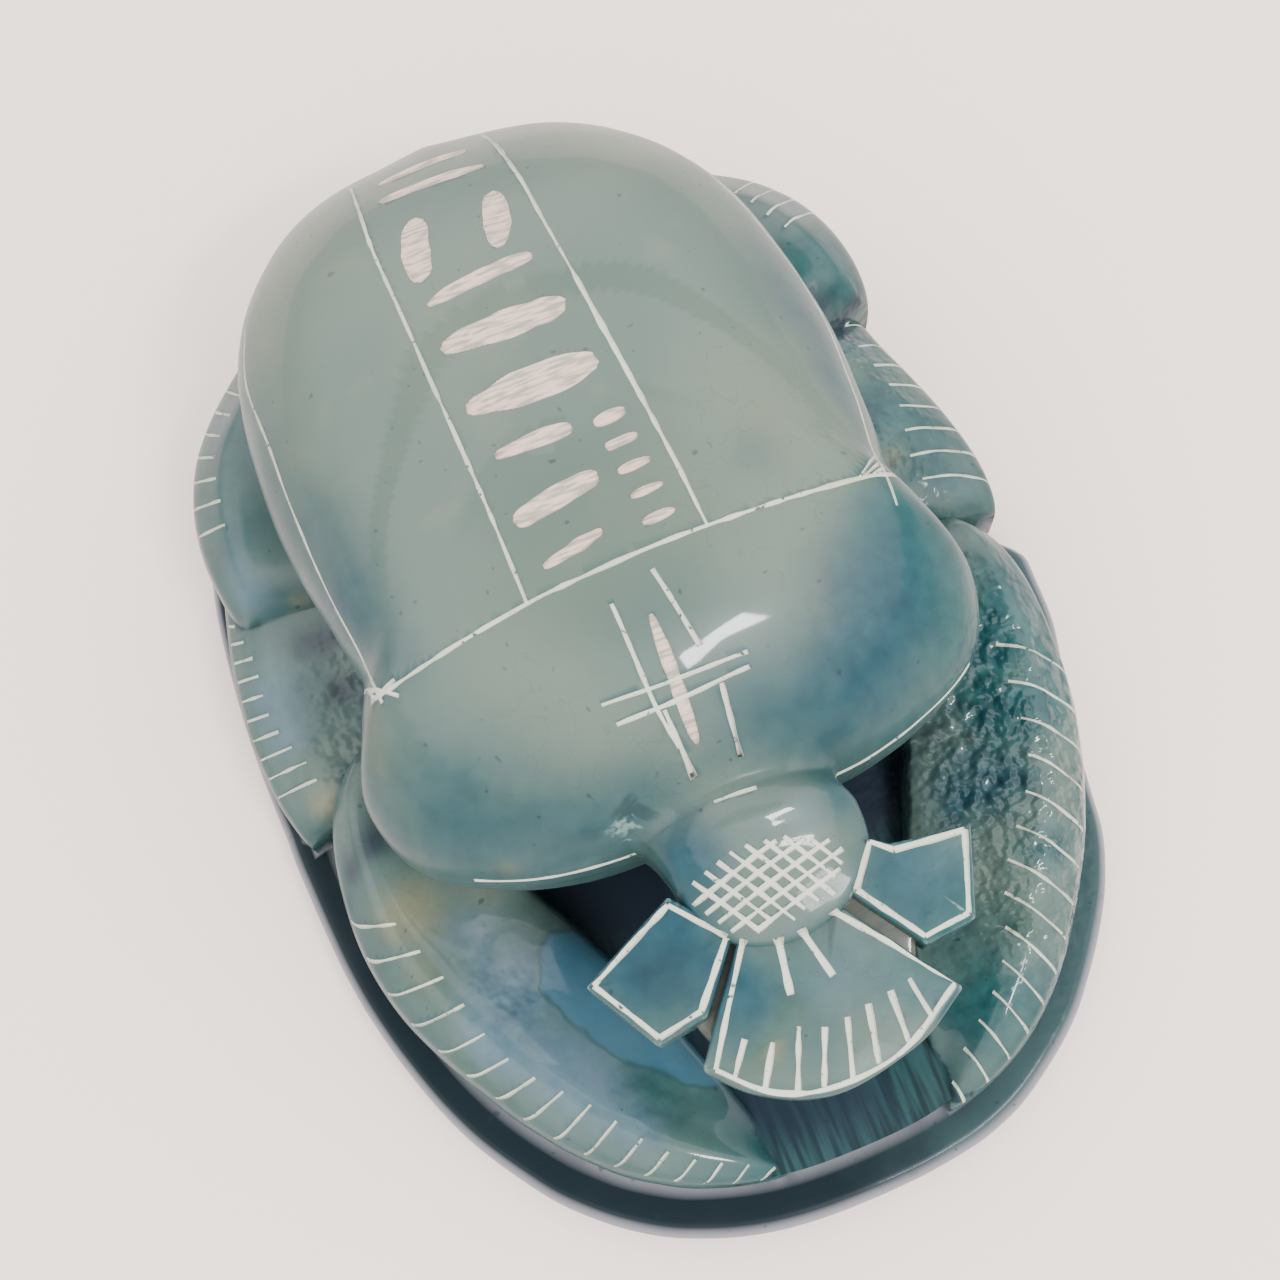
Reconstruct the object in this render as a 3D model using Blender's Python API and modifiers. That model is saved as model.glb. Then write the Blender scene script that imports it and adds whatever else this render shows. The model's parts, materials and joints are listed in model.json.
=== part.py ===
"""A scarab amulet carved from one stone: an oval base, six scored legs that lie round it,
a hollow between the front legs, and over them the beetle's back, neck and fan-shaped head.
Metres, +Z up. The origin is the middle of the flat underside, and the head points along -Y."""

from math import atan2, cos, pi, radians, sin

import bmesh
import bpy
import numpy as np
from mathutils import Matrix

# The stone's driving sizes, in metres.
LENGTH = 0.0760
WIDTH = 0.0532
HEIGHT = 0.0285
BASE_THICKNESS = 0.0031
BASE_EDGE_ROUND = 0.0009
LEDGE_FRONT = 0.0030
HOLLOW_FLOOR = 0.0044
FRONT_LIP = 0.0058
HEAD_THICKNESS = 0.0030
HEAD_GROOVE_DEPTH = 0.0011
LINE_WIDTH = 0.0007
LINE_DEPTH = 0.0004
PLATE_EDGE_ROUND = 0.00045
# The forms are sunk this deep into the base, and the cutters stand this far out of the back.
SUNK = BASE_THICKNESS / 2
CUTTER_RISE = 0.0005

# Below, the carving is given in shares: x and breadths of half the width, y of half the
# length, and z of the height. SQUARENESS is the oval's exponent, where 2 is an ellipse.
HALF_WIDTH = WIDTH / 2
HALF_LENGTH = LENGTH / 2
SQUARENESS = 2.4
FLOOR_RINGS = (1.0, 0.95, 0.86, 0.76, 0.5)
LIP_FROM, LIP_TO = 0.66, 0.90
BASE_STEPS = 80
# The carver's middle line leans to the left from a little in front of the middle backwards.
LEAN_FROM, LEAN_BASE, LEAN_BACK = -0.10, -0.065, -0.073
# Where the file ran over the rim on the right: the places along the length, how far the
# cuts reach to either side of them, and their depths in metres.
RIM_CUTS = [(-0.43, 0.22, 0.0011), (-0.04, 0.08, 0.0018), (0.38, 0.30, 0.0009)]

# Half of the back's outline from the tail to the neck: x, y and the height of its edge.
BACK_OUTLINE = [
    (0.000, 0.838, 0.535),
    (0.314, 0.798, 0.540),
    (0.512, 0.690, 0.558),
    (0.632, 0.510, 0.593),
    (0.662, 0.263, 0.630),
    (0.632, 0.053, 0.650),
    (0.612, -0.045, 0.655),
    (0.660, -0.118, 0.615),
    (0.706, -0.212, 0.560),
    (0.640, -0.318, 0.530),
    (0.450, -0.388, 0.530),
    (0.226, -0.418, 0.560),
    (0.000, -0.410, 0.600),
]
BACK_CENTRE = 0.21
BACK_SHOULDER, BACK_ROUNDNESS = 2.4, 0.53
CROWN_WAVES, CALM_POWER = 5, 2
BACK_RINGS = (0.985, 0.94, 0.87, 0.78, 0.66, 0.52, 0.36, 0.18)
BACK_STEPS, OUTLINE_STEPS = 76, 160
# How far the back's foot and waist stand in under its edge at the sides, how much more they
# do above the hollow in front, and how far below the edge its waist and rounded edge lie.
FOOT_IN, FOOT_IN_FRONT, FOOT_TOP = 0.12, 0.20, 0.34
WAIST_IN, WAIST_IN_FRONT, WAIST_DROP = 0.09, 0.13, 0.155
ROLL_REACH, ROLL_DROP, EDGE_DROP = 0.975, 0.10, 0.04
FRONT_FROM, FRONT_FULL = 0.72, 0.93

# Where the legs start, as angles on the oval. Then each side's sign, and where its hind,
# middle and front leg end and how far in from the oval each lies at its stations, in metres.
HIND_ROOT, MIDDLE_ROOT, FRONT_ROOT = 150, 122, 87
SIDES = [(-1, (105, (0.0029, 0.0018, 0.0007, 0.0017)), (81.5, (0.0026, 0.0013, 0.0007, 0.0010)),
          (10, (0.0038, 0.0022, 0.0028, 0.0028, 0.0025))),
         (1, (114, (0.0037, 0.0013, -0.0001, 0.0002)), (88, (0.0015, 0.0018, 0.0011, 0.0006)),
          (15, (0.0022, 0.0018, 0.0020, 0.0021, 0.0020)))]
# Stations from root to tip: the width, and the heights of the outer edge, the crest and the
# inner edge.
HIND_LEG = [(0.40, 0.29, 0.36, 0.37), (0.45, 0.32, 0.41, 0.42), (0.47, 0.35, 0.45, 0.43),
            (0.43, 0.36, 0.44, 0.40)]
MIDDLE_LEG = [(0.45, 0.22, 0.28, 0.33), (0.46, 0.24, 0.31, 0.34), (0.45, 0.25, 0.31, 0.34),
              (0.32, 0.24, 0.27, 0.29)]
FRONT_LEG = [(0.320, 0.36, 0.46, 0.44), (0.383, 0.32, 0.39, 0.32), (0.406, 0.29, 0.35, 0.25),
             (0.357, 0.27, 0.31, 0.23), (0.169, 0.23, 0.25, 0.21)]
HIND_STEPS, MIDDLE_STEPS, FRONT_STEPS = 24, 24, 36
# Eight places round a leg's section, as shares of its width. Its side walls are upright up
# to a share of its edges' heights, and its top dips between the crest and the inner edge.
LEG_SECTION = (0.0, 0.0, 0.05, 0.28, 0.62, 0.97, 1.0, 1.0)
LEG_WALL, LEG_DIP = 0.82, 0.65
# How sharply a leg's ends are rounded, how much breadth and height is lost there, and where
# in the breadth they close in, at the root and at the tip.
END_SHARPNESS, END_NARROWING, END_DROP = 7, 0.93, 0.45
CLOSES_AT_ROOT, CLOSES_AT_TIP = 0.50, 0.12

# The head, all as shares: its middle line, the domed skull, and the plates' corners in plan.
HEAD_MIDDLE = 0.020
SKULL_CENTRE = (0.045, -0.480)
SKULL_REACH = (0.205, 0.142)
SKULL_TOP, SKULL_LOW = 0.775, 0.520
NECK_BACK, NECK_HALF_WIDTH = -0.330, 0.190
HEAD_REAR, HEAD_FRONT = (-0.500, 0.700), (-0.830, 0.585)
SIDE_PLATE = [(0.215, -0.515), (0.415, -0.572), (0.345, -0.672), (0.255, -0.688), (0.150, -0.588)]
FAN_ROOT, FAN_CORNER, FAN_FRONT, FAN_ROUNDNESS = (0.090, -0.585), (0.268, -0.752), -0.815, 2.2
HEAD_WEB = [(0.210, -0.480), (0.300, -0.580), (0.215, -0.720), (0.130, -0.770)]
NECK_DROP = 0.025
HEAD_STEPS, FAN_STEPS = 24, 9

# Carved lines on the back, as shares in plan.
SHOULDER_LINE = [(-0.555, -0.100), (-0.235, -0.084), (0.170, -0.084), (0.550, -0.084)]
COLUMN_LINES = [[(-0.235, -0.084), (-0.262, 0.730)], [(0.170, -0.084), (0.072, 0.740)]]
WING_EDGE_SHARE, WING_EDGE_FROM, WING_EDGE_TO = 0.955, -24, 62
LINE_STEPS = 16
# Strokes of the centre column, each with its place up the column and across it, its length
# as a share of the column's width, its slant in degrees and its breadth in metres.
STROKES = [
    (0.930, 0.00, 0.62, 4, 0.0012), (0.855, 0.00, 0.70, 0, 0.0013), (0.700, -0.21, 0.42, 78, 0.0022),
    (0.700, 0.21, 0.42, 78, 0.0020), (0.575, 0.00, 0.66, 6, 0.0014), (0.465, 0.00, 0.72, 0, 0.0019),
    (0.355, 0.00, 0.74, 0, 0.0018), (0.250, -0.12, 0.42, 0, 0.0010), (0.135, -0.14, 0.46, 8, 0.0017),
    (0.050, -0.17, 0.34, 10, 0.0009),
]
STROKES += [(0.235 - 0.048 * k, 0.30, 0.16, 4, 0.0008) for k in range(5)]
# Strokes between the shoulders: place in plan, length, slant and breadth.
CROSS = [(-0.05, -0.215, 0.0085, 94, 0.0007), (0.09, -0.215, 0.0085, 94, 0.0007),
         (0.02, -0.225, 0.0066, 92, 0.0013), (0.02, -0.255, 0.0085, 3, 0.0007),
         (0.03, -0.280, 0.0085, 3, 0.0007)]
STROKE_STEPS, STROKE_END = 7, 0.25


def smooth(points, steps):
    """An even walk of steps places along the smooth curve through the points."""
    points = np.asarray(points, float)
    ends = np.vstack([2 * points[0] - points[1], points, 2 * points[-1] - points[-2]])
    place = np.linspace(0, len(points) - 1, steps)
    start = np.minimum(place.astype(int), len(points) - 2)
    t = (place - start)[:, None]
    a, b, c, d = (ends[start + k] for k in range(4))
    return b + t / 2 * (c - a + t * (2 * a - 5 * b + 4 * c - d + t * (3 * (b - c) + d - a)))


def ease(value, low, high):
    """0 below low, 1 above high and a smooth rise between."""
    share = np.clip((np.asarray(value, float) - low) / (high - low), 0, 1)
    return share * share * (3 - 2 * share)


def oval(angle, inset=0.0):
    """The base's outline pulled in by inset. Angle 0 is the head end, and 90 degrees is +X."""
    across, along = np.sin(angle), -np.cos(angle)
    reach = (np.abs(across) ** SQUARENESS + np.abs(along) ** SQUARENESS) ** (-1 / SQUARENESS)
    lean = LEAN_BASE * HALF_WIDTH * np.maximum(reach * along - LEAN_FROM, 0)
    x, y = (HALF_WIDTH - inset) * reach * across, (HALF_LENGTH - inset) * reach * along
    return x + lean * np.abs(across), y


def rim(angle):
    """The base's own edge: the oval with the cuts that run over it on the right."""
    x, y = oval(angle)
    for place, spread, depth in RIM_CUTS:
        away = np.minimum(np.abs(y / HALF_LENGTH - place) / spread, 1)
        x = x - depth * np.cos(pi / 2 * away) ** 2 * (x > 0)
    return x, y


def turn(count):
    return np.arange(count) * (2 * pi / count)


def back_outline():
    """The back's whole outline: bearing from its centre, distance and edge height."""
    half = smooth(BACK_OUTLINE, OUTLINE_STEPS)
    both = np.vstack([half, half[-2:0:-1] * (-1, 1, 1)])
    both[:, 0] += LEAN_BACK * np.maximum(both[:, 1] - LEAN_FROM, 0)
    both *= (HALF_WIDTH, HALF_LENGTH, HEIGHT)
    x, y = both[:, 0], both[:, 1] - BACK_CENTRE * HALF_LENGTH
    bearing = np.arctan2(y, x) % (2 * pi)
    order = np.argsort(bearing)
    return bearing[order], np.hypot(x, y)[order], both[order, 2]


BEARINGS, REACHES, EDGES = back_outline()


def back_edge(bearing):
    """Distance of the back's edge from its centre, and its height, at a bearing."""
    reach = np.interp(bearing % (2 * pi), BEARINGS, REACHES, period=2 * pi)
    return reach, np.interp(bearing % (2 * pi), BEARINGS, EDGES, period=2 * pi)


def calm_reaches():
    """The edge's distance at even bearings, less all but its first few waves, so that the
    waist is gone from it."""
    waves = np.fft.rfft(back_edge(turn(OUTLINE_STEPS))[0])
    waves[CROWN_WAVES:] = 0
    return np.fft.irfft(waves, OUTLINE_STEPS)


CALM_REACHES = calm_reaches()


def crown(distance, bearing):
    """The back's height at a distance from its centre. The share of the way out is taken over
    the edge's own distance near the edge, and over the calm one towards the middle."""
    reach, edge = back_edge(bearing)
    calm = np.interp(bearing % (2 * pi), turn(OUTLINE_STEPS), CALM_REACHES, period=2 * pi)
    share = np.minimum(distance / reach, 1)
    share = share * (share**CALM_POWER + (1 - share**CALM_POWER) * reach / calm)
    return edge + (HEIGHT - edge) * np.maximum(1 - share**BACK_SHOULDER, 0) ** BACK_ROUNDNESS


def back_height(x, y):
    """The height of the back's top over a place in plan."""
    y = np.asarray(y) - BACK_CENTRE * HALF_LENGTH
    return crown(np.hypot(x, y), np.arctan2(y, x))


def ring(x, y, z):
    return np.stack(np.broadcast_arrays(x, y, z), axis=-1)


def place(name, mesh, collection):
    """An object in the collection from a finished bmesh."""
    bmesh.ops.recalc_face_normals(mesh, faces=mesh.faces)
    data = bpy.data.meshes.new(name)
    mesh.to_mesh(data)
    mesh.free()
    thing = bpy.data.objects.new(name, data)
    collection.objects.link(thing)
    return thing


def solid(name, rings, collection):
    """A closed loft through rings of points, with a fan of triangles over each end."""
    mesh = bmesh.new()
    rows = [[mesh.verts.new(p) for p in one] for one in rings]
    for low, high in zip(rows, rows[1:]):
        for k in range(len(low)):
            n = (k + 1) % len(low)
            mesh.faces.new((low[k], low[n], high[n], high[k]))
    for row, points in ((rows[0][::-1], rings[0]), (rows[-1], rings[-1])):
        middle = mesh.verts.new(points.mean(axis=0))
        for k in range(len(row)):
            mesh.faces.new((row[k], row[(k + 1) % len(row)], middle))
    return place(name, mesh, collection)


def soften(thing, width):
    """Rounded edges."""
    bevel = thing.modifiers.new("rounded_edges", "BEVEL")
    bevel.width = width
    bevel.segments = 2
    bevel.limit_method = "ANGLE"


def base(collection):
    """A flat disc drawn out to the oval, with a rounded edge above and below."""
    mesh = bmesh.new()
    bmesh.ops.create_cone(mesh, cap_ends=True, segments=BASE_STEPS, radius1=1, radius2=1,
                          depth=BASE_THICKNESS)
    for vertex in mesh.verts:
        x, y = rim(atan2(vertex.co.x, -vertex.co.y))
        vertex.co = x, y, vertex.co.z + BASE_THICKNESS / 2
    disc = place("scarab", mesh, collection)
    soften(disc, BASE_EDGE_ROUND)
    return disc


def floor(collection):
    """The step inside the ledge that the legs and the hollow stand on, up to the front lip."""
    x, y = oval(turn(BASE_STEPS), LEDGE_FRONT)
    rings = [ring(x, y, SUNK)]
    for share in FLOOR_RINGS:
        rise = ease(-share * y / HALF_LENGTH, LIP_FROM, LIP_TO)
        rings.append(ring(share * x, share * y, HOLLOW_FLOOR + (FRONT_LIP - HOLLOW_FLOOR) * rise))
    return solid("carving_floor", rings, collection)


def leg(name, collection, root, tip, insets, stations, steps):
    """A leg that lies along the oval from its root's angle to its tip's. The stations are
    joined smoothly, and both ends are rounded off, the tip towards its outer edge."""
    t = np.linspace(0, 1, steps)
    angle = np.radians(root + (tip - root) * t)
    width, edge, crest, inner, inset = smooth(np.column_stack([stations, insets]), steps).T
    fullness = np.sqrt(1 - END_NARROWING * np.abs(2 * t - 1) ** END_SHARPNESS)
    lift = 1 - END_DROP * (1 - fullness)
    closing = CLOSES_AT_ROOT + (CLOSES_AT_TIP - CLOSES_AT_ROOT) * t**2
    dip = crest + (inner - crest) * LEG_DIP
    tops = (0 * edge, LEG_WALL * edge, edge, crest, dip, inner, LEG_WALL * inner, 0 * edge)
    rows = []
    for share, top in zip(LEG_SECTION, tops):
        reach = (closing + (share - closing) * fullness) * width * HALF_WIDTH
        x, y = oval(angle, inset + reach)
        rows.append(ring(x, y, SUNK + np.maximum(HEIGHT * top - SUNK, 0) * lift))
    return solid(name, np.stack(rows, axis=1), collection)


def legs(collection):
    """Three legs a side. The two sides were carved by eye and differ a little."""
    for sign, *ends in SIDES:
        side = "left" if sign < 0 else "right"
        kinds = (("hind", HIND_ROOT, HIND_LEG, HIND_STEPS),
                 ("middle", MIDDLE_ROOT, MIDDLE_LEG, MIDDLE_STEPS),
                 ("front", FRONT_ROOT, FRONT_LEG, FRONT_STEPS))
        for (kind, root, stations, steps), (tip, insets) in zip(kinds, ends):
            name = f"carving_{kind}_{side}"
            leg(name, collection, sign * root, sign * tip, insets, stations, steps)


def back(collection):
    """Wing cases and shoulders in one loaf, undercut all round and most above the hollow."""
    bearing = turn(BACK_STEPS)
    reach, edge = back_edge(bearing)
    centre = BACK_CENTRE * HALF_LENGTH
    ahead = ease(-np.sin(bearing), FRONT_FROM, FRONT_FULL)

    def at(distance, height):
        return ring(distance * np.cos(bearing), centre + distance * np.sin(bearing), height)

    foot = reach - FOOT_IN * HALF_WIDTH - ahead * FOOT_IN_FRONT * HALF_LENGTH
    waist = reach - WAIST_IN * HALF_WIDTH - ahead * WAIST_IN_FRONT * HALF_LENGTH
    rings = [at(foot, SUNK), at(foot, FOOT_TOP * HEIGHT), at(waist, edge - WAIST_DROP * HEIGHT)]
    rings += [at(reach * ROLL_REACH, edge - ROLL_DROP * HEIGHT)]
    rings += [at(reach, edge - EDGE_DROP * HEIGHT)]
    rings += [at(reach * share, crown(reach * share, bearing)) for share in BACK_RINGS]
    return solid("carving_back", rings, collection)


def plate_height(y):
    """The plates' top runs straight down from the rear of the head to its front."""
    (rear, high), (front, low) = HEAD_REAR, HEAD_FRONT
    share = (rear * HALF_LENGTH - y) / ((rear - front) * HALF_LENGTH)
    return HEIGHT * (high + (low - high) * share)


def plate(name, collection, corners, lowered=0.0):
    """A plate of the head from its corners in plan, lowered below its neighbours where it is
    the web that joins them."""
    mesh = bmesh.new()
    corners = [((HEAD_MIDDLE + x) * HALF_WIDTH, y * HALF_LENGTH) for x, y in corners]
    mesh.faces.new([mesh.verts.new((x, y, plate_height(y) - lowered)) for x, y in corners])
    sheet = place(name, mesh, collection)
    if sheet.data.polygons[0].normal.z < 0:
        sheet.data.flip_normals()
    thickness = sheet.modifiers.new("thickness", "SOLIDIFY")
    thickness.thickness = HEAD_THICKNESS
    thickness.offset = -1
    soften(sheet, PLATE_EDGE_ROUND)


def fan_outline():
    """The fan's corners in plan: two at the root, then an arc from side to side in front."""
    (root_x, root_y), (corner_x, corner_y) = FAN_ROOT, FAN_CORNER
    t = np.linspace(-1, 1, FAN_STEPS)
    bulge = (FAN_FRONT - corner_y) * np.sqrt(1 - np.abs(t) ** FAN_ROUNDNESS)
    arc = np.stack([corner_x * t, corner_y + bulge], axis=-1)
    return np.vstack([[(root_x, root_y), (-root_x, root_y)], arc])


def skull_and_neck(collection):
    """A squashed ball for the skull, and a lying drum that joins it to the shoulders."""
    (x_middle, y_middle), (x_reach, y_reach) = SKULL_CENTRE, SKULL_REACH
    middle, half = (SKULL_TOP + SKULL_LOW) / 2 * HEIGHT, (SKULL_TOP - SKULL_LOW) / 2 * HEIGHT
    centre = Matrix.Translation((x_middle * HALF_WIDTH, y_middle * HALF_LENGTH, middle))
    squash = Matrix.Diagonal((x_reach * HALF_WIDTH, y_reach * HALF_LENGTH, half, 1))
    mesh = bmesh.new()
    bmesh.ops.create_uvsphere(mesh, u_segments=HEAD_STEPS, v_segments=HEAD_STEPS // 2, radius=1,
                              matrix=centre @ squash)
    place("carving_skull", mesh, collection)

    length = (NECK_BACK - y_middle) * HALF_LENGTH
    centre = Matrix.Translation((0, y_middle * HALF_LENGTH + length / 2, middle - NECK_DROP * HEIGHT))
    squash = Matrix.Diagonal((NECK_HALF_WIDTH * HALF_WIDTH, 1, half, 1))
    mesh = bmesh.new()
    bmesh.ops.create_cone(mesh, cap_ends=True, segments=HEAD_STEPS, radius1=1, radius2=1, depth=length,
                          matrix=centre @ squash @ Matrix.Rotation(pi / 2, 4, "X"))
    place("carving_neck", mesh, collection)


def head(collection):
    """The skull on its neck, two side plates and the fan on a web that is cut lower."""
    skull_and_neck(collection)
    for sign, side in ((-1, "left"), (1, "right")):
        plate(f"carving_plate_{side}", collection, [(sign * x, y) for x, y in SIDE_PLATE])
    plate("carving_fan", collection, fan_outline())
    web = HEAD_WEB + [(-x, y) for x, y in HEAD_WEB[::-1]]
    plate("carving_web", collection, web, lowered=HEAD_GROOVE_DEPTH)


def channel(path, breadth):
    """Rings of an upright-sided cutter that follows the back's top along a path in plan."""
    path = np.asarray(path)
    along = np.gradient(path, axis=0)
    side = np.stack([-along[:, 1], along[:, 0]], axis=-1) / np.hypot(*along.T)[:, None]
    half = np.broadcast_to(breadth, len(path))[:, None] / 2
    (left_x, left_y), (right_x, right_y) = (path - side * half).T, (path + side * half).T
    top, bottom = back_height(*path.T) + CUTTER_RISE, back_height(*path.T) - LINE_DEPTH
    sections = [ring(left_x, left_y, top), ring(right_x, right_y, top)]
    sections += [ring(right_x, right_y, bottom), ring(left_x, left_y, bottom)]
    return np.stack(sections, axis=1)


def lines(collection):
    """The line across the shoulders, the two of the centre column and the wing edges."""
    half = (HALF_WIDTH, HALF_LENGTH)
    paths = {"cut_shoulders": smooth(SHOULDER_LINE, LINE_STEPS) * half}
    for k, ends in enumerate(COLUMN_LINES):
        paths[f"cut_column_{k}"] = np.linspace(*ends, LINE_STEPS) * half
    for side, sign in (("left", -1), ("right", 1)):
        bearing = np.radians(np.linspace(WING_EDGE_FROM, WING_EDGE_TO, LINE_STEPS))
        bearing = bearing if sign > 0 else pi - bearing
        reach = back_edge(bearing)[0] * WING_EDGE_SHARE
        y = BACK_CENTRE * HALF_LENGTH + reach * np.sin(bearing)
        paths[f"cut_wing_{side}"] = np.stack([reach * np.cos(bearing), y], axis=-1)
    for name, path in paths.items():
        solid(name, channel(path, LINE_WIDTH), collection)


def stroke(name, collection, centre, length, slant, breadth):
    """One shallow lens-shaped stroke."""
    share = np.linspace(-1, 1, STROKE_STEPS)
    direction = np.array([cos(radians(slant)), sin(radians(slant))])
    path = np.asarray(centre) + share[:, None] * direction * length / 2
    breadths = breadth * (STROKE_END + (1 - STROKE_END) * np.sqrt(1 - share**2))
    solid(name, channel(path, breadths), collection)


def strokes(collection):
    """The rows of strokes in the column, and the crossed ones between the shoulders."""
    half = np.array([HALF_WIDTH, HALF_LENGTH])
    left, right = np.array(COLUMN_LINES) * half
    for k, (up, across, length, slant, breadth) in enumerate(STROKES):
        start, end = left[0] + (left[1] - left[0]) * up, right[0] + (right[1] - right[0]) * up
        centre = (start + end) / 2 + across * (end - start)
        stroke(f"cut_stroke_{k}", collection, centre, length * (end - start)[0], slant, breadth)
    for k, (x, y, length, slant, breadth) in enumerate(CROSS):
        stroke(f"cut_cross_{k}", collection, half * (x, y), length, slant, breadth)


def stone():
    """Pale blue-green stone under a smooth glaze."""
    material = bpy.data.materials.new("glazed_stone")
    material.use_nodes = True
    shader = material.node_tree.nodes["Principled BSDF"]
    shader.inputs["Base Color"].default_value = (0.30, 0.47, 0.46, 1)
    shader.inputs["Roughness"].default_value = 0.28
    shader.inputs["Metallic"].default_value = 0.0
    return material


def new_collection(name):
    collection = bpy.data.collections.new(name)
    bpy.context.scene.collection.children.link(collection)
    return collection


def main():
    for thing in list(bpy.data.objects):
        bpy.data.objects.remove(thing, do_unlink=True)
    whole = new_collection("scarab")
    forms, cutters = new_collection("scarab_forms"), new_collection("scarab_cutters")
    scarab = base(whole)
    scarab.data.materials.append(stone())
    floor(forms)
    legs(forms)
    back(forms)
    head(forms)
    lines(cutters)
    strokes(cutters)
    for helpers, operation in ((forms, "UNION"), (cutters, "DIFFERENCE")):
        for helper in helpers.objects:
            helper.hide_render = True
            helper.display_type = "WIRE"
        boolean = scarab.modifiers.new(helpers.name, "BOOLEAN")
        boolean.operand_type = "COLLECTION"
        boolean.collection = helpers
        boolean.operation = operation
        boolean.solver = "EXACT"
    bpy.context.view_layer.update()


main()
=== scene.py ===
# %% [markdown]
# # A scarab amulet in glazed blue-green stone
# The amulet is one lump of soft white stone. A carver saws and files it into a beetle that
# lies on an oval base, a dyer stains it blue and green and seals the colour under a hard
# shine, and last of all a steel point is drawn through the colour, so that every line is
# bare white stone.
# The script keeps that order: the forms first, then the cuts, then the stain, then light.
# Everything is in metres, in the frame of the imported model: the origin is the middle of the
# flat underside, the head points along -Y and +Z is up.

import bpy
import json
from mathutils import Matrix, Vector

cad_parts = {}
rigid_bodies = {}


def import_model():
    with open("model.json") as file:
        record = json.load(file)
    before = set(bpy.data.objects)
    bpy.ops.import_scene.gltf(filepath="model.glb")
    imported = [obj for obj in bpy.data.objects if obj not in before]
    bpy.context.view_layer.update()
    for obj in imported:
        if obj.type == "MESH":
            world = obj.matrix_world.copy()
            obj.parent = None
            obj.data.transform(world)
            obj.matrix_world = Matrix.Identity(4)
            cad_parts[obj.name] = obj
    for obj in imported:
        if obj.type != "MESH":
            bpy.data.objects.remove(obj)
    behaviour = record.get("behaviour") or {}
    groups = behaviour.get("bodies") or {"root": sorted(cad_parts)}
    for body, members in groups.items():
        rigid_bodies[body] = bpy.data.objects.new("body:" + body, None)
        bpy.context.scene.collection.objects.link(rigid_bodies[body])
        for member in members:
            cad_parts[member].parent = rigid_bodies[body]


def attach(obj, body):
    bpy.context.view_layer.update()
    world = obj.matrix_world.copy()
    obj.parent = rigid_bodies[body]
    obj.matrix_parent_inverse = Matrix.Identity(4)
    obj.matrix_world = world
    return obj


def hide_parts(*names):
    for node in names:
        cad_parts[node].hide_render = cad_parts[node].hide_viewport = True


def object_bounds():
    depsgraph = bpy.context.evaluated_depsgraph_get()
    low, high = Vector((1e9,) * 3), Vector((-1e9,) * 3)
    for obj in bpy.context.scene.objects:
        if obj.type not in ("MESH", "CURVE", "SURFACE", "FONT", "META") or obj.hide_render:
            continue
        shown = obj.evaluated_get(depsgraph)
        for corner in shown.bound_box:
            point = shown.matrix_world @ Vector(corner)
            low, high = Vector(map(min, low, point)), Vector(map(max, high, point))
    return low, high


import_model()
CAD_BOX = [list(corner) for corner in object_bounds()]
print("box of the packed model, mm:", [[round(1000 * v, 2) for v in corner] for corner in CAD_BOX])

# %% What the script uses
import json
from math import cos, pi, radians, sin

import bmesh
import bpy
import numpy as np
from mathutils import Matrix, Vector

MM = 0.001
LENGTH, WIDTH, HEIGHT = 76.0 * MM, 53.2 * MM, 28.5 * MM
HALF_WIDTH, HALF_LENGTH = WIDTH / 2, LENGTH / 2

# %% [markdown]
# ## The camera
# The picture was taken by hand from above the head, a little from the left, and close by, so
# the head looks large against the tail. A lens length, a place and three angles say all of
# that. The angles are those of the line of sight: round the object, down onto it, and the
# tilt of the camera about that line. Blender's camera looks along its own -Z.

# %% The camera
LENS_MM, SENSOR_MM = 45.0, 36.0
CAMERA_PLACE = np.array([-6.0, -33.0, 105.4]) * MM
CAMERA_AROUND, CAMERA_DOWN, CAMERA_TILT = radians(-10.3), radians(71.7), radians(-11.6)


def camera_axes():
    """Right, down and forward of the camera. Forward runs down the line of sight, right is
    level, and both right and down are then turned by the tilt."""
    flat = cos(CAMERA_DOWN)
    forward = -np.array([sin(CAMERA_AROUND) * flat, -cos(CAMERA_AROUND) * flat, sin(CAMERA_DOWN)])
    level = np.array([cos(CAMERA_AROUND), sin(CAMERA_AROUND), 0.0])
    below = np.cross(forward, level)
    c, s = cos(CAMERA_TILT), sin(CAMERA_TILT)
    return c * level - s * below, s * level + c * below, forward


right, down, forward = camera_axes()
lens = bpy.data.cameras.new("camera")
lens.lens, lens.sensor_width, lens.clip_start = LENS_MM, SENSOR_MM, MM
camera = bpy.data.objects.new("camera", lens)
bpy.context.scene.collection.objects.link(camera)
turned = Matrix(np.stack([right, -down, -forward], axis=1).tolist()).to_4x4()
camera.matrix_world = Matrix.Translation(CAMERA_PLACE.tolist()) @ turned
bpy.context.scene.camera = camera
print("camera to the origin, mm:", round(float(np.linalg.norm(CAMERA_PLACE)) / MM, 1))

# %% [markdown]
# ## Curves, easing and the unsteady hand
# Every outline here runs smoothly through a few chosen points, and every change from one
# form to the next is eased. A hand with a file is never quite even, so each point of the
# stone is also shifted by a tenth of a millimetre or so. The shift comes from a lattice of
# random numbers that is blended smoothly between its corners, and since it depends on the
# place alone, forms that meet stay together and a line stays on the surface it is cut in.

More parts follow.
